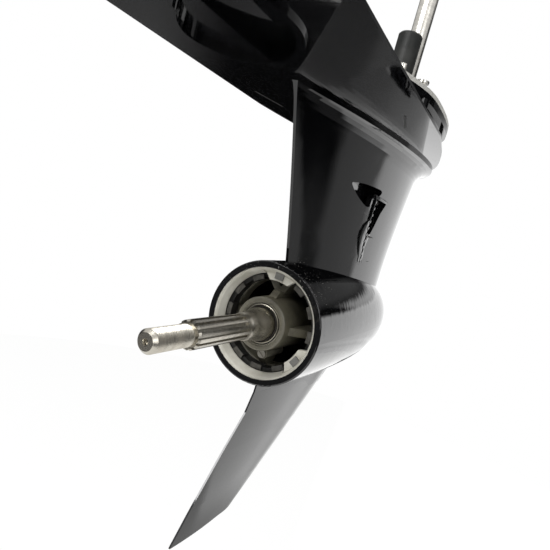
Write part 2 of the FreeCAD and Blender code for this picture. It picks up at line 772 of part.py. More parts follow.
def pinion():
    inner, outer = root_point(pinion_teeth, pinion_cone, small_end), root_point(pinion_teeth, pinion_cone)
    bore = drive_r + seat_gap
    blank = [(pinion_low, bore), (pinion_low, inner[1] - 0.4), inner, outer,
             (outer[0] + 2, outer[1] - 0.8),
             (pinion_top, 14), (pinion_top, bore)]
    gear = bevel_gear(pinion_teeth, pinion_cone, blank)
    gear.rotate(V(0, 0, 0), Z, 90)
    gear.translate(V(0, 0, axis_z))
    return gear


def pinion_nut():
    z0, z1 = axis_z + pinion_low - pinion_nut_thick, axis_z + pinion_low
    nut = hexagon(20.0, z0, z1).common(post(11.2, z0 - 1, z1 + 1))
    return nut.cut(post(6.5 + seat_gap, z0 - 1, z1 + 1))


def large_gear():
    """The forward gear; the reverse gear is the same part turned about."""
    inner, outer = root_point(gear_teeth, gear_cone, small_end), root_point(gear_teeth, gear_cone)
    bore, face = shaft_r + run_gap, clutch_body_half + clutch_throw + 0.5 + jaw_long
    blank = [(face, bore), (face, jaw_out_r + 1), inner, outer,
             (fore_bearing_start - 5.5, outer[1] - 1.5),
             (fore_bearing_start - 4, 26), (fore_bearing_start, 24.5), (fore_bearing_start, gear_hub_r),
             (gear_hub_end, gear_hub_r), (gear_hub_end, bore)]
    gear = bevel_gear(gear_teeth, gear_cone, blank)
    gear.rotate(V(0, 0, 0), X, -90)
    gear.translate(V(0, 0, axis_z))
    return fused([gear] + jaws(face + 0.5, face - jaw_long, 180.0 / jaw_count))


def reverse_gear(ahead):
    gear = ahead.mirror(V(0, 0, 0), Y)
    gear = around_shaft(gear, 90)
    hub = bar(gear_hub_r + 6, -fore_bearing_start - 0.1, -carrier_front + 0.3)
    return gear.cut(hub.cut(bar(gear_hub_r, -fore_bearing_start - 1, -carrier_front + 1)))


# Bearings

def taper_bearing(out_r, bore_r, long, count, to_place):
    """Cup, cone and rollers along +Z from zero; the races narrow towards the far end."""
    wide = out_r - 3.0
    apex = wide / (2.0 / 9)
    cup_slope, cone_slope = 2.0 / 9, (bore_r + 2.8) / (apex - long)
    cup = turned_z([(0, wide), (0, out_r), (long, out_r), (long, cup_slope * (apex - long))])
    at = [cone_slope * (apex - z) for z in (1.8, long - 1.8)]
    cone = turned_z([(0, bore_r), (0, at[0] + 1.4), (1.8, at[0] + 1.4), (1.8, at[0]), (long - 1.8, at[1]),
                     (long - 1.8, at[1] + 0.8), (long, at[1] + 0.8), (long, bore_r)])
    tilt = (math.atan(cup_slope) + math.atan(cone_slope)) / 2
    spread = (math.atan(cup_slope) - math.atan(cone_slope)) / 2
    near, far = (apex - long + 2.7) / math.cos(tilt), (apex - 3.0) / math.cos(tilt)
    roller = Part.makeCone(near * math.tan(spread) - run_gap, far * math.tan(spread) - run_gap,
                           far - near,
                           V(0, 0, -near), -Z)
    roller.rotate(V(0, 0, 0), Y, -math.degrees(tilt))
    roller.translate(V(0, 0, apex))
    rollers = []
    for k in range(count):
        one = roller.copy()
        one.rotate(V(0, 0, 0), Z, 360.0 * k / count)
        rollers.append(one)
    return [to_place(s) for s in (cup, cone, group(rollers))]


def along_shaft(shape):
    out = shape.copy()
    out.rotate(V(0, 0, 0), X, -90)
    out.translate(V(0, fore_bearing_start, axis_z))
    return out


def up_drive(shape):
    out = shape.copy()
    out.translate(V(0, 0, -drive_bearing_top - drive_bearing_long))
    return out


def needle_bearing(out_r, bore_r, long, count):
    """A drawn cup with its needles standing out of the wall, along +Z from zero."""
    needle_r = 1.4
    pitch_r = bore_r + run_gap + needle_r
    shell = turned_z([(0, pitch_r - 0.6), (0, out_r), (long, out_r), (long, pitch_r - 0.6),
                      (long - 1.2, pitch_r - 0.6),
                      (long - 1.2, pitch_r + 0.7), (1.2, pitch_r + 0.7), (1.2, pitch_r - 0.6)])
    needles = [Part.makeCylinder(needle_r, long - 2.4, V(pitch_r * math.cos(2 * math.pi * k / count),
                                                         pitch_r * math.sin(2 * math.pi * k / count),
                                                         1.2), Z)
               for k in range(count)]
    return fused([shell] + needles)


def ball_bearing():
    y1 = -carrier_front
    y0 = y1 - ball_bearing_long
    mid, pitch_r = (y0 + y1) / 2, (ball_out_r + gear_hub_r) / 2
    track = Part.makeTorus(pitch_r, ball_r + run_gap, V(0, mid, axis_z), Y)
    outer = bar(ball_out_r, y0, y1).cut(bar(ball_out_r - 4.4, y0 - 1, y1 + 1)).cut(track)
    inner = bar(gear_hub_r + 4.4, y0, y1).cut(bar(gear_hub_r, y0 - 1, y1 + 1)).cut(track)
    ball = Part.makeSphere(ball_r, V(pitch_r, mid, axis_z))
    return outer, inner, group([around_shaft(ball, 360.0 * k / ball_count) for k in range(ball_count)])


# Bearing carrier and what closes the torpedo

carrier_ring_front = -rim_back + lip_deep + nut_long + 11


def carrier_key(grow):
    y0 = -rim_back + lip_deep + nut_long
    return box(-2.5 - grow, 2.5 + grow, y0, y0 + 9 + grow, axis_z + carrier_r - 2.2 - grow,
               axis_z + carrier_r + 2.0 + grow)


def carrier():
    ring_back = -rim_back + lip_deep + nut_long
    back, front = -hub_back, -carrier_front
    seat = back + 1 + 2 * seal_long + 1
    needle_aft, needle_fore = back + needle_back, back + needle_back + needle_run
    hub = turned_y([(back, seal_r), (back, hub_r - 1), (back + 1, hub_r), (needle_fore - 4, hub_r + 1.5),
                    (front - 65, 27),
                    (front - 30, 31), (front - 27, carrier_r), (front, carrier_r), (front, ball_out_r),
                    (front - ball_bearing_long, ball_out_r), (front - ball_bearing_long, 24),
                    (front - 30, 24),
                    (front - 32, journal_r + 0.8), (needle_fore, journal_r + 0.8),
                    (needle_fore, needle_bore_r),
                    (needle_aft, needle_bore_r), (needle_aft, journal_r + 0.8), (seat, journal_r + 0.8),
                    (seat, seal_r)])
    ring = turned_y([(ring_back, carrier_r - 4.6), (ring_back, carrier_r),
                     (carrier_ring_front, carrier_r),
                     (carrier_ring_front, carrier_r - 5.2)])
    ribs = []
    for k in range(rib_count):
        profile = [V(0, back + 7, 20), V(0, ring_back + 0.5, carrier_r - 3),
                   V(0, carrier_ring_front, carrier_r - 3),
                   V(0, carrier_ring_front + 14, 21)]
        rib = prism([V(-rib_thick / 2, p.y, axis_z + p.z) for p in profile], V(rib_thick, 0, 0))
        if k == 0:
            rib = rib.common(bar(fork_r, back, front))
        ribs.append(around_shaft(rib, 90 - rib_first - 360.0 * k / rib_count))
    ribs += [branch(rib_first, rib_first + spread, ring_back - 6,
                    carrier_ring_front + 4) for spread in fork_spread]
    boss = bar(4.6, back + screw_deep, needle_fore - 4, *screw_place())
    body = fused([hub, ring, boss] + ribs)
    groove = turned_y([(front - 22, carrier_r + 1), (front - 22, carrier_r - 2.25),
                       (front - 19.4, carrier_r - 2.25),
                       (front - 19.4, carrier_r + 1)])
    body = body.cut(groove).cut(carrier_key(seat_gap)).cut(bar(3.8, back, back + screw_deep, *screw_place()))
    return body.cut(bar(2.0, back + screw_deep - 1, back + screw_deep + 10, *screw_place()))


def branch(a0, a1, y0, y1):
    """One arm of the forked rib, from the end of its stem to the ring."""
    r1, half = carrier_r - 3, rib_thick / 2 - 0.4
    start = V(math.cos(math.radians(a0)) * (fork_r - 2), y0,
              axis_z + math.sin(math.radians(a0)) * (fork_r - 2))
    end = V(math.cos(math.radians(a1)) * r1, y0, axis_z + math.sin(math.radians(a1)) * r1)
    way = (end - start).normalize()
    side = way.cross(Y) * half
    arm = prism([start - side, start + side, end + side, end - side], V(0, y1 - y0, 0))
    ring_back = -rim_back + lip_deep + nut_long
    nut_zone = bar(carrier_r + 1, y0 - 1, ring_back + 0.5).cut(bar(carrier_r - 6.2, y0 - 2, ring_back + 1))
    return arm.common(bar(carrier_r - 0.5, y0 - 1, y1 + 1)).cut(nut_zone)


def screw_place():
    a = math.radians(screw_angle)
    return (screw_reach * math.cos(a), screw_reach * math.sin(a))


def hub_screw():
    x, z = screw_place()
    back = -hub_back + screw_deep
    body = fused([bar(3.7, back - 2.2, back, x, z), bar(2.0 - seat_gap, back - 0.1, back + 8, x, z)])
    slot = box(-6, 6, back - 3, back - 1.3, -0.55, 0.55)
    slot.rotate(V(0, 0, 0), Y, 35)
    slot.translate(V(x, 0, axis_z + z))
    return body.cut(slot)


def shaft_seal(y0, bore_r, out_r, long):
    return turned_y([(y0, out_r), (y0, out_r - 1.6), (y0 + 1.2, out_r - 1.9), (y0 + 1.2, bore_r + 2.6),
                     (y0, bore_r + 2.2),
                     (y0, bore_r + 0.9), (y0 + 2.0, bore_r + run_gap),
                     (y0 + long - 1.0, bore_r + run_gap + 0.4),
                     (y0 + long - 1.0, out_r - 1.9), (y0 + long, out_r - 1.6), (y0 + long, out_r)])


def drive_seal(z0):
    bore_r, out_r, long = drive_r, 17.0, seal_long
    return turned_z([(z0, out_r), (z0, out_r - 1.6), (z0 + 1.2, out_r - 1.9), (z0 + 1.2, bore_r + 2.6),
                     (z0, bore_r + 2.2),
                     (z0, bore_r + 0.9), (z0 + 2.0, bore_r + run_gap),
                     (z0 + long - 1.0, bore_r + run_gap + 0.4),
                     (z0 + long - 1.0, out_r - 1.9), (z0 + long, out_r - 1.6), (z0 + long, out_r)])


nut_lugs = 12
lug_first = 0.0
ear_places = (87.0, -31.0)      # the lock ring's ears, each bent over the nut with a tab
ear_wide = 40.0


def sector(r_in, r_out, y0, y1, mid, wide):
    wedge = Part.makeCylinder(r_out, y1 - y0, V(0, y0, axis_z), Y, wide)
    return around_shaft(wedge.cut(bar(r_in, y0 - 1, y1 + 1)), 90 - (mid - 90) - 90 - wide / 2)


def ring_nut():
    y0, y1 = -rim_back + lip_deep, -rim_back + lip_deep + nut_long
    body = turned_y([(y0 + 2.5, carrier_r - 3.2), (y0 + 2.5, nut_r - seat_gap), (y1, nut_r - seat_gap),
                     (y1, carrier_r - 3.2)])
    lugs = [sector(carrier_r - 5.2, carrier_r - 0.9, y0, y1 - 5, lug_first + 360.0 * k / nut_lugs, 15.0)
            for k in range(nut_lugs)]
    return fused([body] + lugs)


def lock_ring():
    y0, y1 = -rim_back + 0.9, -rim_back + lip_deep
    body = turned_y([(y0, lip_r - seat_gap), (y1, lip_r - seat_gap), (y1, carrier_r + 0.1),
                     (y1 - 1.6, carrier_r + 0.1),
                     (y0 + 2.2, lip_r - 2.4), (y0, lip_r - 1.0)])
    ears = [sector(carrier_r - 5.6, carrier_r + 2.2, y1 - 5.0, y1, a, ear_wide) for a in ear_places]
    notches = [notch(a + side * ear_wide / 2, side, y1) for a in ear_places for side in (-1, 1)]
    body = fused([body] + ears)
    for n in notches:
        body = body.cut(n)
    for a in ear_places:
        body = body.cut(tab_block(a, seat_gap))
    return body


def notch(angle, side, y1):
    """A pointed cut that slants the side of an ear, wide at its inner end."""
    inner, tip = carrier_r - 7, carrier_r + 3.0
    corners = [(-0.6, tip), (0.6, tip), (5.0, inner), (-0.8, inner)]
    pts = [V(side * across, y1 - 8.0, axis_z + r) for across, r in corners]
    return around_shaft(prism(pts, V(0, 9.0, 0)), 90 - angle)


def tab_block(angle, grow):
    y1 = -rim_back + lip_deep
    block = box(-3.8 - grow, 3.8 + grow, y1 - 7.4, y1,
                axis_z + carrier_r - 3.9 - grow, axis_z + carrier_r + 2.0 + grow)
    return around_shaft(block, 90 - angle)


def o_ring(major, minor, y):
    return Part.makeTorus(major, minor, V(0, y, axis_z), Y)


# Driveshaft and water pump

def driveshaft():
    low = axis_z
    tip, gear_low, gear_top = pinion_low - pinion_nut_thick - 0.2, low + pinion_low, low + pinion_top
    needle_top = low + needle_low + needle_long + 4
    body = turned_z([(low + tip, 0), (low + tip, 5.6), (low + tip + 1, 6.5), (gear_low, 6.5),
                     (gear_low, drive_r),
                     (gear_top, drive_r), (gear_top, drive_low_r), (needle_top, drive_low_r),
                     (needle_top + 4, drive_r + 0.5),
                     (-drive_bearing_top - drive_bearing_long, drive_r + 0.5),
                     (-drive_bearing_top - drive_bearing_long, drive_cone_r),
                     (-drive_bearing_top, drive_cone_r),
                     (-drive_bearing_top, drive_cone_r + 1.2),
                     (-drive_bearing_top + 1.6, drive_cone_r + 1.2),
                     (-drive_bearing_top + 1.6, drive_r), (drive_above - 60, drive_r),
                     (drive_above - 58, drive_spline_r),
                     (drive_above - 1.2, drive_spline_r), (drive_above, drive_spline_r - 1.4),
                     (drive_above, 0)])
    width = math.pi * 2 * drive_spline_r / drive_spline_teeth * 0.46
    groove = box(-width / 2, width / 2, drive_spline_r - 1.5, drive_spline_r + 2, drive_above - 46,
                 drive_above + 1)
    grooves = group([around_post(groove,
                                 360.0 * k / drive_spline_teeth) for k in range(drive_spline_teeth)])
    return body.cut(grooves).cut(impeller_key(seat_gap))


impeller_low = -well_deep + seal_flange_thick + gasket_thick + wear_thick + face_gap
impeller_high = impeller_low + cup_high - 2 * face_gap


def impeller_key(grow):
    return box(-2 - grow, 2 + grow, drive_r - 2.2 - grow, drive_r + 2.0 + grow, impeller_low + 3,
               impeller_high - 3)


def impeller():
    tip = cup_r - cup_offset - face_gap
    hub = post(impeller_hub_r, impeller_low, impeller_high)
    vanes = []
    for k in range(vane_count):
        arc_pts = []
        for t in (0, 0.5, 1.0):
            r = impeller_hub_r - 2 + (tip - 1.6 - impeller_hub_r + 2) * t
            a = 0.42 * t * t
            arc_pts.append(V(r * math.cos(a), r * math.sin(a), impeller_low))
        mid = arc_pts[1]
        spine = Part.Arc(arc_pts[0], mid, arc_pts[2]).toShape()
        outer = Part.Wire([spine]).makeOffset2D(1.3, 0, False, False, True)
        vane = Part.Face(outer).extrude(V(0, 0, impeller_high - impeller_low))
        bulb = post(2.1, impeller_low, impeller_high, (tip - 2.1) * math.cos(0.42),
                    (tip - 2.1) * math.sin(0.42))
        for piece in (vane, bulb):
            vanes.append(around_post(piece, 360.0 * k / vane_count))
    body = fused([hub] + vanes)
    body = body.cut(post(drive_r + seat_gap, impeller_low - 1, impeller_high + 1))
    return body.cut(impeller_key(seat_gap))


def well_plate(z0, z1, inset):
    face = rounded_rect(well_half_x - inset, well_half_y - inset, well_corner - inset, z0)
    return face.extrude(V(0, 0, z1 - z0))


def water_slot(z0, z1):
    return box(-9, 9, -well_half_y + 4, -well_half_y + 12, z0, z1)


def drilled(body, z0, z1, grow=0.3):
    for x, y in pump_bolts():
        body = body.cut(post(pump_bolt_r + grow, z0 - 1, z1 + 1, x, y))
    return body


flange_top = -well_deep + seal_flange_thick
gasket_top = flange_top + gasket_thick
wear_top = gasket_top + wear_thick


def seal_housing():
    body = fused([well_plate(-well_deep, flange_top, 0.3),
                  post(drive_bearing_r - seat_gap, -drive_bearing_top, -well_deep + 0.5)])
    body = body.cut(post(17.0, -drive_bearing_top + 1.7, flange_top - 1.5))
    body = body.cut(post(15.0, -drive_bearing_top - 1, 0))
    groove = turned_z([(-44.2, drive_bearing_r + 1), (-44.2, drive_bearing_r - 2.2),
                       (-41.6, drive_bearing_r - 2.2),
                       (-41.6, drive_bearing_r + 1)])
    return drilled(body.cut(groove).cut(water_slot(-well_deep - 1, 0)), -well_deep, flange_top)


def gasket(z0, z1):
    body = well_plate(z0, z1, 0.5).cut(post(16.0, z0 - 1, z1 + 1)).cut(water_slot(z0 - 1, z1 + 1))
    return drilled(body, z0, z1)


def wear_plate():
    body = well_plate(gasket_top, wear_top, 0.5).cut(post(drive_r + 1.0, gasket_top - 1, wear_top + 1))
    return drilled(body.cut(water_slot(gasket_top - 1, wear_top + 1)), gasket_top, wear_top)


cup_top = wear_top + cup_high + cup_wall


def pump_cup():
    outer = post(cup_r + cup_wall, wear_top, cup_top, 0, cup_offset)
    inner = post(cup_r, wear_top - 1, cup_top - cup_wall, 0, cup_offset)
    ports = [box(-7, 7, -cup_r - 5, -cup_r + 6, wear_top - 1, wear_top + 6),
             post(5.0, cup_top - 4, cup_top + 1, 0, -18)]
    body = outer.cut(inner).cut(post(drive_r + 1.0, wear_top, cup_top + 1))
    for p in ports:
        body = body.cut(p)
    return body


def pump_housing():
    base = well_plate(wear_top, wear_top + 8, 0.8)
    dome = post(cup_r + cup_wall + 4, wear_top, pump_rise - 3, 0, cup_offset)
    dome = dome.makeFillet(2.5, [e for e in dome.Edges if e.BoundBox.ZMin > pump_rise - 4 and e.Closed and
                                 e.BoundBox.ZLength < 1])
    collar = post(15.0, wear_top, pump_rise)
    tower = post(spout_r + 3, wear_top, pump_rise, 0, -tube_back)
    spout = post(spout_r - 0.1, 0, spout_top, 0, -tube_back)
    inlet = box(-12, 12, -well_half_y + 2.5, -20, wear_top, wear_top + 10)
    body = fused([base, dome, collar, tower, spout, inlet])
    body = body.cut(post(cup_r + cup_wall + seat_gap, wear_top - 1, cup_top, 0, cup_offset))
    body = body.cut(post(drive_r + 1.0, wear_top, pump_rise + 1))
    body = body.cut(post(6.5, cup_top + 3, spout_top + 1, 0, -tube_back))
    body = body.cut(box(-5, 5, -tube_back, -14, cup_top, cup_top + 5))
    body = body.cut(box(-9, 9, -well_half_y + 4, -cup_r + 3, wear_top - 1, wear_top + 6))
    return drilled(body, wear_top, wear_top + 8)


def pump_bolt_set():
    one = []
    for x, y in pump_bolts():
        head = hexagon(10.0, wear_top + 8, wear_top + 12.5, x, y)
        washer = post(5.6, wear_top + 8, wear_top + 9, x, y)
        one.append(fused([head, washer, post(pump_bolt_r - seat_gap, -well_deep - 12, wear_top + 8.5, x,
                                             y)]))
    return group(one)


def tube_seal():
    low = pump_rise
    body = turned_z([(low, spout_r), (low, tube_r), (tube_top - 2, tube_r), (tube_top, tube_r - 1.6),
                     (tube_top, tube_bore_r),
                     (spout_top + 0.5, tube_bore_r), (spout_top + 0.5, spout_r)], 0, -tube_back)
    ribs = [turned_z([(z, tube_r - 0.5), (z, tube_r + 0.5), (z + 2.0, tube_r + 0.5),
                      (z + 2.0, tube_r - 0.5)], 0, -tube_back)
            for z in (low + 1, low + 6)]
    return fused([body] + ribs)


# Intake grilles, plugs, dowels

grille_slots = 7


def grille():
    body = intake_pocket(-0.5, intake_seat, intake_seat + grille_thick)
    lip = intake_pocket(-0.5, intake_seat, intake_seat + grille_thick + 1.5)
    lip = lip.cut(intake_pocket(-4.0, intake_seat - 1, intake_seat + 10))
    body = fused([body, lip]).common(intake_pocket(-0.5, intake_seat, 60))
    for k in range(grille_slots):
        h = 76 + 6.4 * k
        body = body.cut(box(intake_seat - 1, intake_seat + 8, -rim_back + 105,
                            -rim_back + 152.6 - 0.276 * h,
                            axis_z + h, axis_z + h + 3.2))
    mouth = [V(intake_seat - 1, y - rim_back, axis_z + z) for y,
             z in ((124, 127), (144, 127), (140, 116), (137, 108))]
    body = body.cut(prism(mouth, V(10, 0, 0)))
    for x, y, z in grille_screws():
        if x > 0:
            body = body.cut(Part.makeCylinder(2.0, 20, V(x, y, z), X))
            body = body.cut(Part.makeCylinder(3.4, 20, V(intake_seat + grille_thick, y, z), X))
    return body


def screw_set():
    one = []
    for x, y, z in grille_screws():
        way = X if x > 0 else -X
        head_at = intake_seat + grille_thick
        start = V(head_at if x > 0 else -head_at, y, z)
        shank = Part.makeCylinder(1.6 - seat_gap, head_at - intake_seat + 5.5, start, -way)
        head = Part.makeCylinder(3.0, 1.6, start, way)
        slot = Part.makeBox(1.0, 8, 0.8, V(start.x + (0.7 if x > 0 else -1.7), y - 4, z - 0.4))
        one.append(fused([shank, head]).cut(slot))
    return group(one)


def plug(place):
    seat, ahead, h = place
    start = V(-seat + 4.0 - 1.2, ahead, axis_z + h)
    head = Part.makeCylinder(plug_head_r, 3.2, start, -X)
    shank = Part.makeCylinder(plug_r - seat_gap, 14, start, X)
    slot = Part.makeBox(1.6, 2 * plug_head_r + 2, 1.8,
                        V(start.x - 3.3, ahead - plug_head_r - 1, axis_z + h - 0.9))
    return fused([head, shank]).cut(slot)


def plug_washer(place):
    seat, ahead, h = place
    start = V(-seat + 4.0, ahead, axis_z + h)
    return Part.makeCylinder(plug_head_r, 1.2, start, -X).cut(Part.makeCylinder(plug_r, 5, start + X, -X))


def dowel_set():
    one = []
    for x, y in dowel_places():
        one.append(turned_z([(-dowel_long / 2, 0), (-dowel_long / 2, dowel_r - seat_gap),
                             (dowel_long / 2 - 1, dowel_r - seat_gap),
                             (dowel_long / 2, dowel_r - 1), (dowel_long / 2, 0)], x, y))
    return group(one)


# The assembly

def build():
    out = {}
    lower, upper = housing()
    out["gearcase_housing"], out["upper_casing"] = lower.cut(carrier_key(seat_gap)), upper
    out["driveshaft"] = driveshaft()
    cup, cone, rollers = taper_bearing(drive_bearing_r, drive_cone_r, drive_bearing_long, 16, up_drive)
    out["drive_bearing_cup"], out["drive_bearing_cone"], out["drive_bearing_rollers"] = cup, cone, rollers
    needle = needle_bearing(needle_out_r, drive_low_r, needle_long, 26)
    needle.translate(V(0, 0, axis_z + needle_low))
    out["drive_needle_bearing"] = needle
    out["seal_housing"] = seal_housing()
    out["drive_seal_lower"] = drive_seal(-drive_bearing_top + 2.4)
    out["drive_seal_upper"] = drive_seal(-drive_bearing_top + 2.4 + seal_long + 1)
    out["seal_housing_ring"] = Part.makeTorus(drive_bearing_r - 1.1, 1.08, V(0, 0, -42.9), Z)
    out["pump_gasket"] = gasket(flange_top, gasket_top)
    out["pump_wear_plate"] = wear_plate()
    out["pump_impeller"] = impeller()
    out["impeller_key"] = impeller_key(0)
    out["pump_cup"] = pump_cup()
    out["pump_housing"] = pump_housing()
    out["pump_bolts"] = pump_bolt_set()
    out["water_tube_seal"] = tube_seal()
    out["pinion_gear"] = pinion()
    out["pinion_nut"] = pinion_nut()
    ahead = large_gear()
    out["forward_gear"] = ahead
    cup, cone, rollers = taper_bearing(fore_cup_r, gear_hub_r, fore_bearing_long, 20, along_shaft)
    out["forward_bearing_cup"], out["forward_bearing_cone"] = cup, cone
    out["forward_bearing_rollers"] = rollers
    out["reverse_gear"] = reverse_gear(ahead)
    outer, inner, balls = ball_bearing()
    out["reverse_bearing_outer"], out["reverse_bearing_inner"] = outer, inner
    out["reverse_bearing_balls"] = balls
    out["propeller_shaft"] = propeller_shaft()
    out["thrust_washer"] = bar(shaft_r + 3, -gear_hub_end - 2, -gear_hub_end - face_gap).cut(
        bar(shaft_r + seat_gap, -gear_hub_end - 3, -gear_hub_end + 1))
    out["dog_clutch"] = dog_clutch()
    out["clutch_cross_pin"] = cross_pin(0, jaw_out_r - 2.2)
    out["clutch_spring_ring"] = bar(jaw_out_r - 0.3, -1.2, 1.2).cut(bar(jaw_out_r - 1.8, -2, 2))
    out["clutch_plunger"] = clutch_plunger()
    out["shift_slider"] = shift_slider()
    out["shift_crank"] = shift_crank()
    out["shift_rod"] = shift_rod()
    out["shift_rod_retainer"] = rod_retainer()
    out["shift_rod_boot"] = rod_boot()
    out["retainer_screw"] = rod_screw()
    out["bearing_carrier"] = carrier()
    needle = needle_bearing(needle_bore_r, journal_r, needle_run, 28)
    needle.rotate(V(0, 0, 0), X, -90)
    needle.translate(V(0, -hub_back + needle_back, axis_z))
    out["carrier_needle_bearing"] = needle
    out["shaft_seal_outer"] = shaft_seal(-hub_back + 1, journal_r, seal_r, seal_long)
    out["shaft_seal_inner"] = shaft_seal(-hub_back + 1.5 + seal_long, journal_r, seal_r, seal_long)
    out["carrier_o_ring"] = o_ring(carrier_r - 1.1, 1.1, -carrier_front - 20.7)
    out["carrier_key"] = carrier_key(0)
    out["hub_screw"] = hub_screw()
    out["ring_nut"] = ring_nut()
    out["lock_ring"] = lock_ring()
    out["lock_tabs"] = group([tab_block(a, 0) for a in ear_places])
    star = grille()
    out["intake_grille_starboard"], out["intake_grille_port"] = star, mirrored(star)
    out["grille_screws"] = screw_set()
    out["drain_plug"], out["drain_plug_washer"] = plug(plug_low), plug_washer(plug_low)
    out["vent_plug"], out["vent_plug_washer"] = plug(plug_high), plug_washer(plug_high)
    out["dowel_pins"] = dowel_set()
    return out


os.makedirs("parts", exist_ok=True)
for name, shape in build().items():
    shape.exportStep("parts/" + name + ".step")
    print(name, len(shape.Solids), shape.isValid(), round(shape.Volume / 1000, 2))
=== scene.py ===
import json
import math
import bpy
from mathutils import Matrix, Vector


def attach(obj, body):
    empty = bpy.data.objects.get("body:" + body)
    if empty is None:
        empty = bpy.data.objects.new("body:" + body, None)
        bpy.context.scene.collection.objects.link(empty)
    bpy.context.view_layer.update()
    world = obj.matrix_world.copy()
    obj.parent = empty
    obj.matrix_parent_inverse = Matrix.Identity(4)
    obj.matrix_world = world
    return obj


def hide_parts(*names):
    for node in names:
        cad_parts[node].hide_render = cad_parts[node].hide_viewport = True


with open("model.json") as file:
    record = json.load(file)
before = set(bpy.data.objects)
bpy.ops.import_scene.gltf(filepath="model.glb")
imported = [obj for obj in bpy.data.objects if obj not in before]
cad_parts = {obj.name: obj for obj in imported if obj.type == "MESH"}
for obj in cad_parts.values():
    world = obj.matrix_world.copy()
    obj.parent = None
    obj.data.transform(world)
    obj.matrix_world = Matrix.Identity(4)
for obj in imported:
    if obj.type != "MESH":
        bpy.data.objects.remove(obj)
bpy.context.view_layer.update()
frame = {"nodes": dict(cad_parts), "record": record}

bpy.ops.object.select_all(action="DESELECT")

mm = 0.001
shaft_axis_z = -255 * mm     # the propeller shaft's axis, in the frame
weld = 0.002 * mm            # points closer than this are one point


# What finishes and the surroundings are made with

class Numbers:
    """A node tree, and short ways to add the nodes that work out numbers in it."""

    def __init__(self, tree):
        self.nodes, self.links = tree.nodes, tree.links

    def split(self, socket, axis):
        node = self.nodes.new("ShaderNodeSeparateXYZ")
        self.links.new(socket, node.inputs[0])
        return node.outputs["XYZ".index(axis)]

    def math(self, kind, first, second=0.0):
        node = self.nodes.new("ShaderNodeMath")
        node.operation = kind
        for value, socket in ((first, node.inputs[0]), (second, node.inputs[1])):
            if isinstance(value, (int, float)):
                socket.default_value = value
            else:
                self.links.new(value, socket)
        return node.outputs[0]

    def product(self, first, *others):
        for other in others:
            first = self.math("MULTIPLY", first, other)
        return first

    def span(self, value, low, high, to_low=0.0, to_high=1.0):
        """Goes softly from to_low to to_high while the value goes from low to high."""
        node = self.nodes.new("ShaderNodeMapRange")
        node.interpolation_type = "SMOOTHSTEP"
        for socket, number in zip(("From Min", "From Max", "To Min", "To Max"), (low, high, to_low, to_high)):
            node.inputs[socket].default_value = number
        self.links.new(value, node.inputs["Value"])
        return node.outputs["Result"]


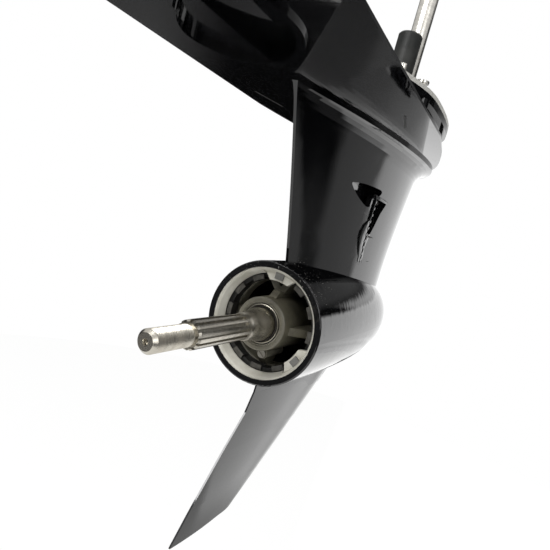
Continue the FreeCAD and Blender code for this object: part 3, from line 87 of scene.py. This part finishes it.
class Finish(Numbers):
    """One material: its shader, and short ways to add the patterns that feed it."""

    def __init__(self, name, colour, roughness, metallic=0.0, **sockets):
        self.material = bpy.data.materials.new(name)
        self.material.use_nodes = True
        super().__init__(self.material.node_tree)
        self.shader = self.nodes["Principled BSDF"]
        self.shader.inputs["Base Color"].default_value = (*colour, 1.0)
        self.shader.inputs["Roughness"].default_value = roughness
        self.shader.inputs["Metallic"].default_value = metallic
        for socket, value in sockets.items():
            self.shader.inputs[socket.replace("_", " ")].default_value = value
        self.place = self.nodes.new("ShaderNodeTexCoord").outputs["Object"]
        self.relief = None

    def at(self, stretch=(1, 1, 1), turn=(0, 0, 0), move=(0, 0, 0)):
        """The piece's own coordinates, moved, turned and stretched."""
        node = self.nodes.new("ShaderNodeMapping")
        node.inputs["Location"].default_value = move
        node.inputs["Rotation"].default_value = turn
        node.inputs["Scale"].default_value = stretch
        self.links.new(self.place, node.inputs["Vector"])
        return node.outputs["Vector"]

    def grain(self, scale, detail=4.0, where=None, rough=0.55):
        node = self.nodes.new("ShaderNodeTexNoise")
        node.inputs["Scale"].default_value = scale
        node.inputs["Detail"].default_value = detail
        node.inputs["Roughness"].default_value = rough
        self.links.new(where or self.place, node.inputs["Vector"])
        return node.outputs["Fac"]

    def cells(self, scale, where=None):
        node = self.nodes.new("ShaderNodeTexVoronoi")
        node.inputs["Scale"].default_value = scale
        self.links.new(where or self.place, node.inputs["Vector"])
        return node.outputs["Distance"]

    def radius(self, axis):
        """Distance from the propeller shaft's axis ("y") or from the driveshaft's axis ("z")."""
        centre = (0, 0, -shaft_axis_z) if axis == "y" else (0, 0, 0)
        flat = (1, 0, 1) if axis == "y" else (1, 1, 0)
        node = self.nodes.new("ShaderNodeVectorMath")
        node.operation = "LENGTH"
        move = tuple(c * share for c, share in zip(centre, flat))
        self.links.new(self.at(stretch=flat, move=move), node.inputs[0])
        return node.outputs["Value"]

    def along(self, axis, start, end):
        """0 before the start and 1 past the end, on an axis of the frame."""
        return self.span(self.split(self.place, axis), start, end)

    def shades(self, value, *stops):
        """Colours along a value, each stop a place and a colour."""
        node = self.nodes.new("ShaderNodeValToRGB")
        ramp = node.color_ramp
        while len(ramp.elements) < len(stops):
            ramp.elements.new(0.5)
        for element, (place, colour) in zip(ramp.elements, stops):
            element.position = place
            element.color = (*colour, 1.0)
        self.links.new(value, node.inputs[0])
        return node.outputs["Color"]

    def blend(self, share, low, high):
        node = self.nodes.new("ShaderNodeMix")
        node.data_type = "RGBA"
        for value, socket in ((share, node.inputs["Factor"]), (low, node.inputs[6]), (high, node.inputs[7])):
            if isinstance(value, tuple):
                socket.default_value = (*value, 1.0)
            elif isinstance(value, (int, float)):
                socket.default_value = value
            else:
                self.links.new(value, socket)
        return node.outputs[2]

    def colour(self, socket):
        self.links.new(socket, self.shader.inputs["Base Color"])

    def roughness(self, socket):
        self.links.new(socket, self.shader.inputs["Roughness"])

    def bump(self, height, strength, depth):
        node = self.nodes.new("ShaderNodeBump")
        node.inputs["Strength"].default_value = strength
        node.inputs["Distance"].default_value = depth
        self.links.new(height, node.inputs["Height"])
        if self.relief:
            self.links.new(self.relief, node.inputs["Normal"])
        self.relief = node.outputs["Normal"]
        self.links.new(self.relief, self.shader.inputs["Normal"])

    def edges(self):
        """High on sharp outer edges."""
        node = self.nodes.new("ShaderNodeNewGeometry")
        return self.span(node.outputs["Pointiness"], 0.52, 0.62)


# Finishes

def black_lacquer():
    """Deep gloss black with dust and fine scuffs, and bare metal on the mating face and the edge below it."""
    look = Finish("black_lacquer", (0.004, 0.004, 0.0045), 0.07, IOR=1.52)
    cloud = look.grain(9.0, 3.0)
    dust = look.span(look.grain(1500.0, 2.0), 0.70, 0.78)
    film = look.span(look.grain(38.0, 6.0), 0.45, 0.8)
    black = look.shades(cloud, (0.35, (0.0026, 0.0027, 0.0032)), (0.65, (0.0048, 0.0049, 0.0054)))
    dusty = look.blend(look.product(dust, look.product(film, 0.35)), black, (0.12, 0.115, 0.105))
    bare_face = look.along("Z", -4.6 * mm, -4.2 * mm)
    torpedo_top = look.product(look.along("Z", -232 * mm, -212 * mm), look.along("Y", -130 * mm, -170 * mm),
                               look.along("Z", -190 * mm, -200 * mm))
    specks = look.span(look.grain(750.0, 3.0, look.at(stretch=(1, 0.35, 1), turn=(0, 0, 0.5))), 0.64, 0.70)
    dusty = look.blend(look.product(specks, torpedo_top, 0.55), dusty, (0.42, 0.41, 0.38))
    metal = look.shades(look.grain(300.0, 4.0), (0.3, (0.46, 0.45, 0.42)), (0.7, (0.64, 0.63, 0.59)))
    look.colour(look.blend(bare_face, dusty, metal))
    strokes = look.at(stretch=(1, 0.06, 1.6), turn=(0.3, 0.1, 0.2))
    scuffs = look.span(look.grain(160.0, 3.0, strokes), 0.66, 0.74)
    wear = look.math("ADD", look.span(film, 0.0, 1.0, 0.045, 0.11), look.product(scuffs, 0.10))
    look.roughness(look.math("ADD", wear, look.product(bare_face, 0.30)))
    look.bump(cloud, 0.25, 0.0010)
    look.bump(look.grain(420.0, 2.0), 0.04, 0.0002)
    return look.material


def turned_steel(name, axis, tint=(0.60, 0.585, 0.545), rough=0.24):
    """Satin steel with fine rings left by the lathe around the axis."""
    look = Finish(name, tint, rough, 1.0)
    along = {"x": (1, 0, 0), "y": (0, 1, 0), "z": (0, 0, 1)}[axis]
    rings = look.grain(5200.0, 3.0, look.at(stretch=along))
    bands = look.grain(140.0, 2.0, look.at(stretch=along))
    smear = look.grain(55.0, 5.0)
    dark, pale = tuple(c * 0.78 for c in tint), tuple(min(1, c * 1.12) for c in tint)
    metal = look.shades(bands, (0.3, dark), (0.7, pale))
    look.colour(look.blend(look.span(smear, 0.52, 0.78, 0.0, 0.45), metal, (0.40, 0.36, 0.30)))
    look.roughness(look.math("ADD", look.span(rings, 0.3, 0.7, rough - 0.06, rough + 0.08),
                             look.span(smear, 0.5, 0.8, 0.0, 0.12)))
    look.bump(rings, 0.22, 0.00012)
    return look.material


def machined_steel(name, tint, rough, oil=0.35):
    """Ground or polished steel parts, with a film of oil in patches."""
    look = Finish(name, tint, rough, 1.0)
    patch = look.grain(60.0, 5.0)
    fine = look.grain(2600.0, 3.0, look.at(stretch=(1, 1, 0.25)))
    dark = tuple(c * 0.7 for c in tint)
    metal = look.shades(fine, (0.3, dark), (0.75, tint))
    look.colour(look.blend(look.span(patch, 0.45, 0.75, 0.0, oil), metal, (0.22, 0.17, 0.10)))
    look.roughness(look.span(fine, 0.3, 0.7, rough - 0.05, rough + 0.1))
    look.bump(fine, 0.15, 0.0001)
    return look.material


def sand_casting(name, low, high, rough, metallic=0.0, speck=(0.35, 0.34, 0.31), rubbed=0.15):
    """A cast skin: pebbled, with darker hollows and rubbed edges."""
    look = Finish(name, low, rough, metallic)
    pebble = look.grain(900.0, 5.0)
    patch = look.grain(75.0, 4.0)
    mottle = look.math("ADD", look.product(pebble, 0.5), look.product(patch, 0.5))
    skin = look.shades(mottle, (0.36, low), (0.62, high))
    look.colour(look.blend(look.product(look.edges(), rubbed), skin, speck))
    look.roughness(look.span(pebble, 0.3, 0.7, rough - 0.12, rough + 0.1))
    look.bump(pebble, 0.45, 0.0004)
    look.bump(look.cells(700.0), 0.12, 0.0003)
    return look.material


def primed_ring():
    """Pale bare metal of the lock ring, turned about the propeller shaft."""
    look = Finish("pale_machined_metal", (0.62, 0.60, 0.53), 0.45)
    rings = look.grain(3000.0, 2.0, look.radius("y"))
    stain = look.grain(70.0, 5.0)
    film = look.shades(stain, (0.40, (0.64, 0.625, 0.56)), (0.66, (0.50, 0.48, 0.41)))
    look.colour(look.blend(look.span(rings, 0.4, 0.8, 0.0, 0.2), film, (0.42, 0.40, 0.35)))
    look.roughness(look.span(stain, 0.3, 0.75, 0.35, 0.55))
    look.bump(rings, 0.2, 0.00015)
    return look.material


def blackened_nut():
    """A black nut. The black is partly its own colour and partly painted shade. The aft lug faces are painted
    a lighter olive grey, as painted light where light falls on them.
    """
    look = Finish("blackened_nut", (0.012, 0.012, 0.012), 0.45)
    mottle = look.grain(260.0, 5.0)
    black = look.shades(mottle, (0.35, (0.010, 0.010, 0.009)), (0.7, (0.024, 0.023, 0.021)))
    painted_lit_lug_grey = look.shades(mottle, (0.35, (0.045, 0.043, 0.037)), (0.7, (0.095, 0.090, 0.078)))
    # painted light: the aft faces of the lugs are made paler grey as lit faces, and the rest of the nut stays
    # black as painted shade
    painted_lit_lug_face = look.span(look.split(look.place, "Y"), -187.6 * mm, -186.8 * mm, 1.0, 0.0)
    look.colour(look.blend(painted_lit_lug_face, black, painted_lit_lug_grey))
    look.roughness(look.span(mottle, 0.3, 0.7, 0.35, 0.55))
    look.bump(mottle, 0.2, 0.0002)
    return look.material


def moulded(name, colour, rough, pale, scale=1100.0, depth=0.0002, gloss=0.25):
    """Moulded plastic or rubber: a fine even grain, chalky patches and a little dust."""
    look = Finish(name, colour, rough, Specular_IOR_Level=gloss)
    fine = look.grain(scale, 3.0)
    chalk = look.grain(45.0, 6.0)
    dust = look.span(look.cells(520.0), 0.0, 0.12, 0.35, 0.0)
    skin = look.shades(chalk, (0.42, colour), (0.75, pale))
    look.colour(look.blend(dust, skin, tuple(min(1, c * 3 + 0.03) for c in pale)))
    look.roughness(look.span(fine, 0.3, 0.7, rough - 0.1, rough + 0.08))
    look.bump(fine, 0.3, depth)
    return look.material


def gasket_fibre():
    look = Finish("pressed_fibre", (0.12, 0.20, 0.16), 0.8)
    fibre = look.grain(900.0, 6.0, look.at(stretch=(1, 0.3, 1)))
    look.colour(look.shades(fibre, (0.35, (0.08, 0.15, 0.12)), (0.7, (0.20, 0.30, 0.24))))
    look.bump(fibre, 0.3, 0.0002)
    return look.material


finish_of_slot = {
    "black_gloss_paint": black_lacquer(),
    "stainless_steel": turned_steel("turned_stainless", "z", (0.68, 0.66, 0.61)),
    "gear_steel": machined_steel("ground_gear_steel", (0.44, 0.42, 0.40), 0.32),
    "bearing_steel": machined_steel("polished_bearing_steel", (0.66, 0.66, 0.65), 0.16, 0.2),
    "bronze": machined_steel("bearing_bronze", (0.62, 0.43, 0.20), 0.30, 0.3),
    "cast_aluminium": sand_casting("cast_aluminium_skin", (0.36, 0.36, 0.35), (0.56, 0.56, 0.55), 0.5, 0.8),
    "carrier_casting": sand_casting("olive_primed_casting", (0.056, 0.052, 0.037), (0.13, 0.12, 0.085), 0.5),
    "dark_nut": blackened_nut(),
    "bare_primed_metal": primed_ring(),
    "grey_tab_steel": sand_casting("dull_tab_steel", (0.10, 0.10, 0.095), (0.20, 0.195, 0.18), 0.45, 0.2),
    "black_moulding": moulded("black_moulding", (0.018, 0.018, 0.019), 0.45, (0.05, 0.05, 0.05)),
    "black_rubber": moulded("matt_black_rubber", (0.009, 0.010, 0.009), 0.5, (0.028, 0.028, 0.026)),
    "seal_rubber": moulded("seal_rubber", (0.022, 0.020, 0.018), 0.5, (0.05, 0.045, 0.04), 1600.0),
    "gasket_sheet": gasket_fibre(),
}
propeller_shaft_steel = turned_steel("turned_propeller_shaft", "y", (0.46, 0.435, 0.38), 0.27)
seal_case_steel = turned_steel("seal_case_steel", "y", (0.42, 0.40, 0.33), 0.34)

slot_of_node = {row["node"]: row["material_slot"] for row in frame["record"]["subparts"]}


def dress(obj, material):
    obj.data.materials.clear()
    obj.data.materials.append(material)


for node, obj in frame["nodes"].items():
    dress(obj, finish_of_slot[slot_of_node[node]])
for node in ("propeller_shaft", "hub_screw", "shaft_seal_outer"):
    dress(frame["nodes"][node], propeller_shaft_steel)


# Pieces modelled here, where the real one has more than the frame shows

def pick(obj, test=None):
    """Opens a piece for editing, with the points selected that pass the test."""
    if bpy.context.object and bpy.context.object.mode == "EDIT":
        bpy.ops.object.mode_set(mode="OBJECT")
    bpy.ops.object.select_all(action="DESELECT")
    obj.select_set(True)
    bpy.context.view_layer.objects.active = obj
    bpy.ops.object.mode_set(mode="EDIT")
    bpy.ops.mesh.select_mode(type="VERT")
    bpy.ops.mesh.select_all(action="DESELECT")
    bpy.ops.object.mode_set(mode="OBJECT")
    for point in obj.data.vertices:
        point.select = test is None or test(point.co)
    bpy.ops.object.mode_set(mode="EDIT")


def close(obj, material, body, sharp=30):
    """Merges, turns outwards and shades a finished piece, and gives it to its body."""
    pick(obj)
    bpy.ops.mesh.remove_doubles(threshold=weld)
    bpy.ops.mesh.normals_make_consistent(inside=False)
    bpy.ops.object.mode_set(mode="OBJECT")
    bpy.ops.object.shade_smooth_by_angle(angle=math.radians(sharp))
    dress(obj, material)
    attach(obj, body)
    obj.select_set(False)
    return obj


def own_copy(node, name):
    """A copy of a node's mesh to work on, with its loose triangles joined."""
    obj = bpy.data.objects.new(name, frame["nodes"][node].data.copy())
    bpy.context.scene.collection.objects.link(obj)
    pick(obj)
    bpy.ops.mesh.customdata_custom_splitnormals_clear()
    bpy.ops.mesh.remove_doubles(threshold=weld)
    bpy.ops.object.mode_set(mode="OBJECT")
    return obj


def off_shaft(point):
    """Distance from the propeller shaft's axis."""
    return math.hypot(point.x, point.z - shaft_axis_z)


def cut_across(obj, y, **side):
    """Cuts a piece across the propeller shaft's axis."""
    pick(obj)
    bpy.ops.mesh.bisect(plane_co=(0, y, shaft_axis_z), plane_no=(0, 1, 0), threshold=0.0001 * mm, **side)


def draw_on(step):
    """Draws an edge on from the last point."""
    bpy.ops.mesh.extrude_vertices_move(TRANSFORM_OT_translate={"value": step})


def point_at(place, name):
    """A single point to draw a profile from."""
    bpy.ops.mesh.primitive_plane_add(size=2 * mm, location=(0, 0, 0))
    obj = bpy.context.object
    obj.name = name
    pick(obj)
    bpy.ops.mesh.merge(type="CENTER")
    bpy.ops.transform.translate(value=place)
    return obj


def spun_ring(name, profile, material, body, sharp=30, steps=128):
    """A ring about the propeller shaft: its section, as places along and off the axis, spun once round."""
    (y, r), rest = profile[0], profile[1:]
    obj = point_at((r, y, shaft_axis_z), name)
    for along, out in rest + [profile[0]]:
        draw_on((out - r, along - y, 0))
        y, r = along, out
    bpy.ops.mesh.select_all(action="SELECT")
    bpy.ops.mesh.remove_doubles(threshold=weld)
    bpy.ops.mesh.spin(steps=steps, angle=2 * math.pi, center=(0, 0, shaft_axis_z), axis=(0, 1, 0))
    return close(obj, material, body, sharp)


def shaft_seal():
    """The seal in the hub as it looks: a steel case, a folded rubber lip and the spring that holds it."""
    face, case_bore = -0.2021, 0.0175
    case_rim, case_depth = 0.0190, 0.0068
    wire, spring_radius, spring_depth, corner_count = 0.00045, 0.0164, 0.0004, 8
    lip_fold = [(0.0012, case_bore), (0.0010, 0.0166), (0.0016, 0.0161), (0.0006, 0.0155), (-0.0002, 0.0149),
                (0.0002, 0.0143), (0.0012, 0.01405), (0.0060, 0.0144), (0.0064, case_bore)]
    case_section = [(0, case_rim), (0, 0.0180), (0.0006, 0.0176), (0.0030, case_bore),
                    (case_depth, case_bore), (case_depth, case_rim)]
    corners = [2 * math.pi * k / corner_count for k in range(corner_count)]
    spring_section = [(spring_depth + wire * math.sin(turn), spring_radius + wire * math.cos(turn))
                      for turn in corners]
    for name, section, material in (("seal_case", case_section, seal_case_steel),
                                    ("seal_lip", lip_fold, finish_of_slot["seal_rubber"]),
                                    ("seal_spring", spring_section, seal_case_steel)):
        places = [(face + deep, out) for deep, out in section]
        spun_ring(name, places, material, "gearcase")
    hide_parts("shaft_seal_outer")


def threaded_shaft():
    """The shaft with its thread cut: a fine thread from the end chamfer to the foot of the splines."""
    thread_aft, thread_fore, pitch = -0.3467, -0.3104, 0.0015
    crest, root = 0.00800, 0.00712
    runout, inset, barely_under = 0.0005, 0.0002, 0.995
    inside_runout, outer_skin = 0.0003, 0.0075
    foot, flank, flat, steps_per_turn = 0.00015, 0.00050, 0.00020, 48
    shaft = own_copy("propeller_shaft", "propeller_shaft_with_splines")
    for y in (thread_aft, thread_aft + runout, thread_fore - runout, thread_fore):
        cut_across(shaft, y)
    aft_end, fore_end = thread_aft + inside_runout, thread_fore - inside_runout
    pick(shaft, lambda point: aft_end < point.y < fore_end and off_shaft(point) > outer_skin)
    core = root / crest * barely_under
    bpy.ops.transform.resize(value=(core, 1, core), center_override=(0, 0, shaft_axis_z))
    close(shaft, propeller_shaft_steel, "propeller_shaft")

    thread = point_at((root, 0, 0), "propeller_shaft_thread")
    depth = crest - root
    for out, along in ((0, foot), (depth, flank), (0, flat), (-depth, flank), (0, foot)):
        draw_on((out, along, 0))
    bpy.ops.object.mode_set(mode="OBJECT")
    turns = thread.modifiers.new("turns", "SCREW")
    turns.axis = "Y"
    turns.screw_offset = pitch
    turns.iterations = math.ceil((thread_fore - thread_aft) / pitch) + 1
    turns.steps = turns.render_steps = steps_per_turn
    bpy.ops.object.modifier_apply(modifier="turns")
    pick(thread)
    bpy.ops.mesh.remove_doubles(threshold=weld)
    bpy.ops.transform.translate(value=(0, thread_aft - pitch, shaft_axis_z))
    cut_across(thread, thread_aft + inset, clear_inner=True, use_fill=True)
    cut_across(thread, thread_fore - inset, clear_outer=True, use_fill=True)
    close(thread, propeller_shaft_steel, "propeller_shaft")
    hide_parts("propeller_shaft")


def slab(name, outline, depth, material, bevel=0.0):
    """A flat piece drawn by its outline and pushed inwards by its depth."""
    here = Vector(outline[0])
    obj = point_at(here, name)
    for place in [Vector(corner) for corner in outline[1:] + outline[:1]]:
        draw_on(place - here)
        here = place
    bpy.ops.mesh.select_all(action="SELECT")
    bpy.ops.mesh.remove_doubles(threshold=weld)
    bpy.ops.mesh.select_all(action="SELECT")
    bpy.ops.mesh.edge_face_add()
    bpy.ops.mesh.extrude_region_move(TRANSFORM_OT_translate={"value": depth})
    bpy.ops.object.mode_set(mode="OBJECT")
    if bevel:
        soft = obj.modifiers.new("soft_edges", "BEVEL")
        soft.width, soft.segments = bevel, 2
        bpy.ops.object.modifier_apply(modifier="soft_edges")
    return close(obj, material, "gearcase")


def copy_of(obj, name, shift=(0, 0, 0), mirrored=False):
    """A copy with its own mesh, moved along, or mirrored to the port side."""
    twin = bpy.data.objects.new(name, obj.data.copy())
    bpy.context.scene.collection.objects.link(twin)
    pick(twin)
    bpy.ops.transform.translate(value=shift)
    if mirrored:
        bpy.ops.transform.resize(value=(-1, 1, 1), center_override=(0, 0, 0))
    return close(twin, obj.data.materials[0], "gearcase")


def flat_near(x, y, z, per_y, per_z):
    """A flat along the strut, in millimetres: a point on it and how far out it leans, going ahead and up."""
    def place(at_y, at_z, out=0.0):
        return ((x + per_y * (at_y - y) + per_z * (at_z - z) + out) * mm, at_y * mm, at_z * mm)
    return place


on_lip = flat_near(28.4, -72, -161.7, 0.052, 0.060)
on_skin = flat_near(32.4, -72, -105, 0.115, 0.077)
lip_depth, slit_depth = (-2.6 * mm, 0, 0), (-0.6 * mm, 0, 0)
lip_edge = [(-78.3, -122.9), (-75.8, -136.8), (-74.2, -152.0), (-70.9, -169.0), (-64.4, -188.0)]


def edge_y(z):
    """How far ahead the toothed edge of the lip is at a height, in millimetres."""
    for (y0, z0), (y1, z1) in zip(lip_edge, lip_edge[1:]):
        if z >= z1:
            break
    return y0 + (y1 - y0) * (z - z0) / (z1 - z0)


def intake_teeth():
    """Ten teeth along the edge of the lip."""
    first, pitch, count = -124.6, 6.75, 10
    foot, tip, foot_half, tip_half, out = 0.8, 2.6, 1.7, 1.0, 0.2
    paint, soft = finish_of_slot["black_gloss_paint"], 0.2 * mm
    y = edge_y(first)
    corners = [on_lip(y - foot, first + foot_half, out), on_lip(y + tip, first + tip_half, out),
               on_lip(y + tip, first - tip_half, out), on_lip(y - foot, first - foot_half, out)]
    teeth = [slab("intake_tooth_1_starboard", corners, lip_depth, paint, soft)]
    for k in range(1, count):
        z = first - pitch * k
        shift = Vector(on_lip(edge_y(z), z)) - Vector(on_lip(y, first))
        teeth.append(copy_of(teeth[0], "intake_tooth_%d_starboard" % (k + 1), shift))
    return teeth


def intake_lips():
    """At the water intake: a smooth cheek, a cover, a spine with teeth, the bar above, and two fine slits
    drawn as thin black sheets of painted shade.
    """
    paint, shade = finish_of_slot["black_gloss_paint"], finish_of_slot["black_rubber"]
    spine_width, spine_heights = 1.3, (-121.0, -136.8, -144.0)
    cheek = [(-75.3, -143.0), (-81.3, -145.0), (-86.0, -149.9), (-87.7, -156.5), (-86.2, -163.8),
             (-81.5, -171.8), (-74.5, -179.9), (-65.6, -188.4)] + lip_edge[:1:-1]
    cover = [(-71.2, -158.0), (-62.0, -157.0), (-63.5, -165.0), (-64.5, -173.0), (-60.0, -182.0),
             (-57.5, -189.0), (-62.5, -189.5), (-65.5, -180.0), (-69.2, -168.0)]
    spine = [(edge_y(z) - spine_width, z) for z in spine_heights]
    spine += [(edge_y(z), z) for z in reversed(spine_heights)]
    bar = [(-84.8, -117.7), (-80.6, -121.2), (-48.2, -122.5), (-52.9, -119.3)]
    upper_slit = [(-68.8, -158.6), (-68.8, -161.2), (-50.6, -160.0)]
    lower_slit = [(-62.7, -185.0), (-61.0, -187.6), (-39.0, -185.8)]
    made = []
    for name, flat, outline, out, depth, material, soft in (
            ("intake_cheek_starboard", on_lip, cheek, 0.0, lip_depth, paint, 0.5 * mm),
            ("intake_cover_starboard", on_lip, cover, 0.15, lip_depth, paint, 0.3 * mm),
            ("intake_spine_starboard", on_lip, spine, 0.1, lip_depth, paint, 0.2 * mm),
            ("intake_bar_starboard", on_skin, bar, 0.25, lip_depth, paint, 0.3 * mm),
            # painted shade: each slit is a thin black sheet laid on the skin where the dark inside of the
            # opening would be
            ("intake_slit_upper_starboard", on_skin, upper_slit, 0.15, slit_depth, shade, 0.0),
            ("intake_slit_lower_starboard", on_skin, lower_slit, 0.15, slit_depth, shade, 0.0)):
        made.append(slab(name, [flat(y, z, out) for y, z in outline], depth, material, soft))
    for piece in made + intake_teeth():
        copy_of(piece, piece.name.replace("starboard", "port"), mirrored=True)


def plate_slots():
    """A narrow drain slot under each side of the plate, drawn as a thin black strip of painted shade."""
    under, half_width, depth = -0.0652, 0.0010, 0.0006
    aft, fore = Vector((0.0676, -0.1946, under)), Vector((0.0592, -0.1554, under))
    side = (fore - aft).cross(Vector((0, 0, 1))).normalized() * half_width
    # painted shade: a thin black strip stands in for the dark inside of each slot
    slot = slab("plate_slot_starboard", [aft - side, aft + side, fore + side, fore - side], (0, 0, depth),
                finish_of_slot["black_rubber"])
    copy_of(slot, "plate_slot_port", mirrored=True)


threaded_shaft()
shaft_seal()
intake_lips()
plate_slots()


# Floor, light and camera

def floor():
    """A pale disc far below. The camera sees it near white, and a sector of it ahead glows as painted light,
    which the lacquer mirrors.
    """
    drop, radius = 0.90, 1.7
    sector_start, sector_end = (-0.22, -0.18), (0.78, 0.86)     # radians from ahead towards starboard
    near_edge, sector_glow, seen_white = (0.50, 0.75), 0.75, 0.9
    bpy.ops.mesh.primitive_circle_add(vertices=96, radius=radius, fill_type="NGON", location=(0, 0, -drop))
    disc = bpy.context.object
    disc.name = "pale_floor"
    bpy.ops.object.transform_apply(location=True, rotation=True, scale=True)
    look = Finish("pale_floor_paper", (0.90, 0.90, 0.89), 0.9)
    look.bump(look.grain(500.0, 3.0), 0.05, 0.0002)
    bearing = look.math("ARCTAN2", look.split(look.place, "X"), look.split(look.place, "Y"))
    # painted light: the floor itself glows in this sector ahead, though it is no lamp, to give the lacquer a
    # bright panel to mirror
    glowing_sector = look.product(look.span(bearing, *sector_start), look.span(bearing, *sector_end, 1.0, 0.0),
                              look.span(look.radius("z"), *near_edge))
    look.links.new(look.product(glowing_sector, sector_glow), look.shader.inputs["Emission Strength"])
    look.shader.inputs["Emission Color"].default_value = (1, 1, 1, 1)
    seen = look.nodes.new("ShaderNodeLightPath").outputs["Is Camera Ray"]
    glow = look.nodes.new("ShaderNodeEmission")
    glow.inputs["Strength"].default_value = 1.0
    mix = look.nodes.new("ShaderNodeMixShader")
    look.links.new(look.product(seen, seen_white), mix.inputs[0])
    look.links.new(look.shader.outputs[0], mix.inputs[1])
    look.links.new(glow.outputs[0], mix.inputs[2])
    look.links.new(mix.outputs[0], look.nodes["Material Output"].inputs["Surface"])
    dress(disc, look.material)


# Panels of light round the object, in degrees: left, right, low and high edge, their softness, brightness
panels = (
    (-16.5, 33, -15, 8, 1.5, 1.45),     # the sweep ahead
    (-8, 33, -60, -15, 2, 1.45),        # the sweep's foot
    (33, 47, -40, -13, 2, 1.25),        # its near corner
    (33, 49, -13, 6, 2, 0.40),          # grey wall to starboard
    (49, 58, -35, -5, 3, 0.12),         # the dark end of that wall
    (-6, 17, 8, 13, 2, 1.0),            # upper rim of the sweep
    (-8, 24, 15, 24, 3, 0.15),          # edge of the ceiling
    (-60, -40, -30, 4, 5, 0.13),        # dim wall to port
    (75, 178, -25, 30, 10, 0.16),       # dim window behind, to starboard
    (-178, -95, -25, 30, 10, 0.14),     # dim window behind, to port
    (60, 200, 18, 27, 3, 0.85),         # high window behind, to starboard
    (-200, -60, 18, 27, 3, 0.85),       # high window behind, to port
    (-200, 200, 27, 100, 3, 0.90),      # light from above
)
room_light = 0.004


def studio():
    """Panels of light in a dark room. The camera itself sees plain white behind the object."""
    world = bpy.data.worlds.new("studio")
    bpy.context.scene.world = world
    world.use_nodes = True
    room = Numbers(world.node_tree)
    towards = room.nodes.new("ShaderNodeTexCoord").outputs["Generated"]
    degrees = 180 / math.pi
    bearing = room.product(room.math("ARCTAN2", room.split(towards, "X"), room.split(towards, "Y")), degrees)
    height = room.product(room.math("ARCSINE", room.split(towards, "Z")), degrees)
    light = room_light
    for left, right, low, high, soft, strength in panels:
        panel = room.product(room.span(bearing, left - soft, left + soft),
                             room.span(bearing, right - soft, right + soft, 1.0, 0.0),
                             room.span(height, low - soft, low + soft),
                             room.span(height, high - soft, high + soft, 1.0, 0.0), strength)
        light = room.math("ADD", light, panel)
    seen = room.nodes.new("ShaderNodeLightPath").outputs["Is Camera Ray"]
    unseen = room.math("SUBTRACT", 1.0, seen)
    back = room.nodes["Background"]
    room.links.new(room.math("MAXIMUM", room.product(light, unseen), seen), back.inputs["Strength"])
    back.inputs["Color"].default_value = (1, 1, 1, 1)


def soft_lamp(name, place, power):
    """A square lamp that faces the torpedo."""
    target, size = (0, -0.15, -0.25), 0.9
    data = bpy.data.lights.new(name, "AREA")
    data.size = size
    data.energy = power
    lamp = bpy.data.objects.new(name, data)
    bpy.context.scene.collection.objects.link(lamp)
    lamp.location = place
    lamp.rotation_mode = "QUATERNION"
    lamp.rotation_quaternion = (Vector(target) - Vector(place)).to_track_quat("-Z", "Y")


def camera():
    """Where the photo was taken from: aft, to starboard, above the torpedo and rolled to the left."""
    photo_width, off_right, off_up = 550, -1.1, 1.6
    data = bpy.data.cameras.new("camera")
    data.sensor_width = 36.0
    data.lens = 33.64
    data.shift_x, data.shift_y = off_right / photo_width, off_up / photo_width
    data.clip_start = 0.01
    eye = Vector((0.1816, -0.5890, -0.1618))
    gaze = Vector((-0.4170, 0.9012, -0.1184)).normalized()
    roll = math.radians(15.5)
    level = gaze.cross(Vector((0, 0, 1))).normalized()
    right = Matrix.Rotation(-roll, 3, gaze) @ level
    up = right.cross(gaze)
    seat = Matrix((right, up, -gaze)).transposed().to_4x4()
    seat.translation = eye
    cam = bpy.data.objects.new("camera", data)
    bpy.context.scene.collection.objects.link(cam)
    cam.matrix_world = seat
    bpy.context.scene.camera = cam


floor()
studio()
soft_lamp("key_lamp", (-0.35, -1.5, 1.0), 34.0)
soft_lamp("fill_lamp", (1.4, -1.3, 0.3), 7.0)
camera()
bpy.context.scene.view_settings.view_transform = "Standard"
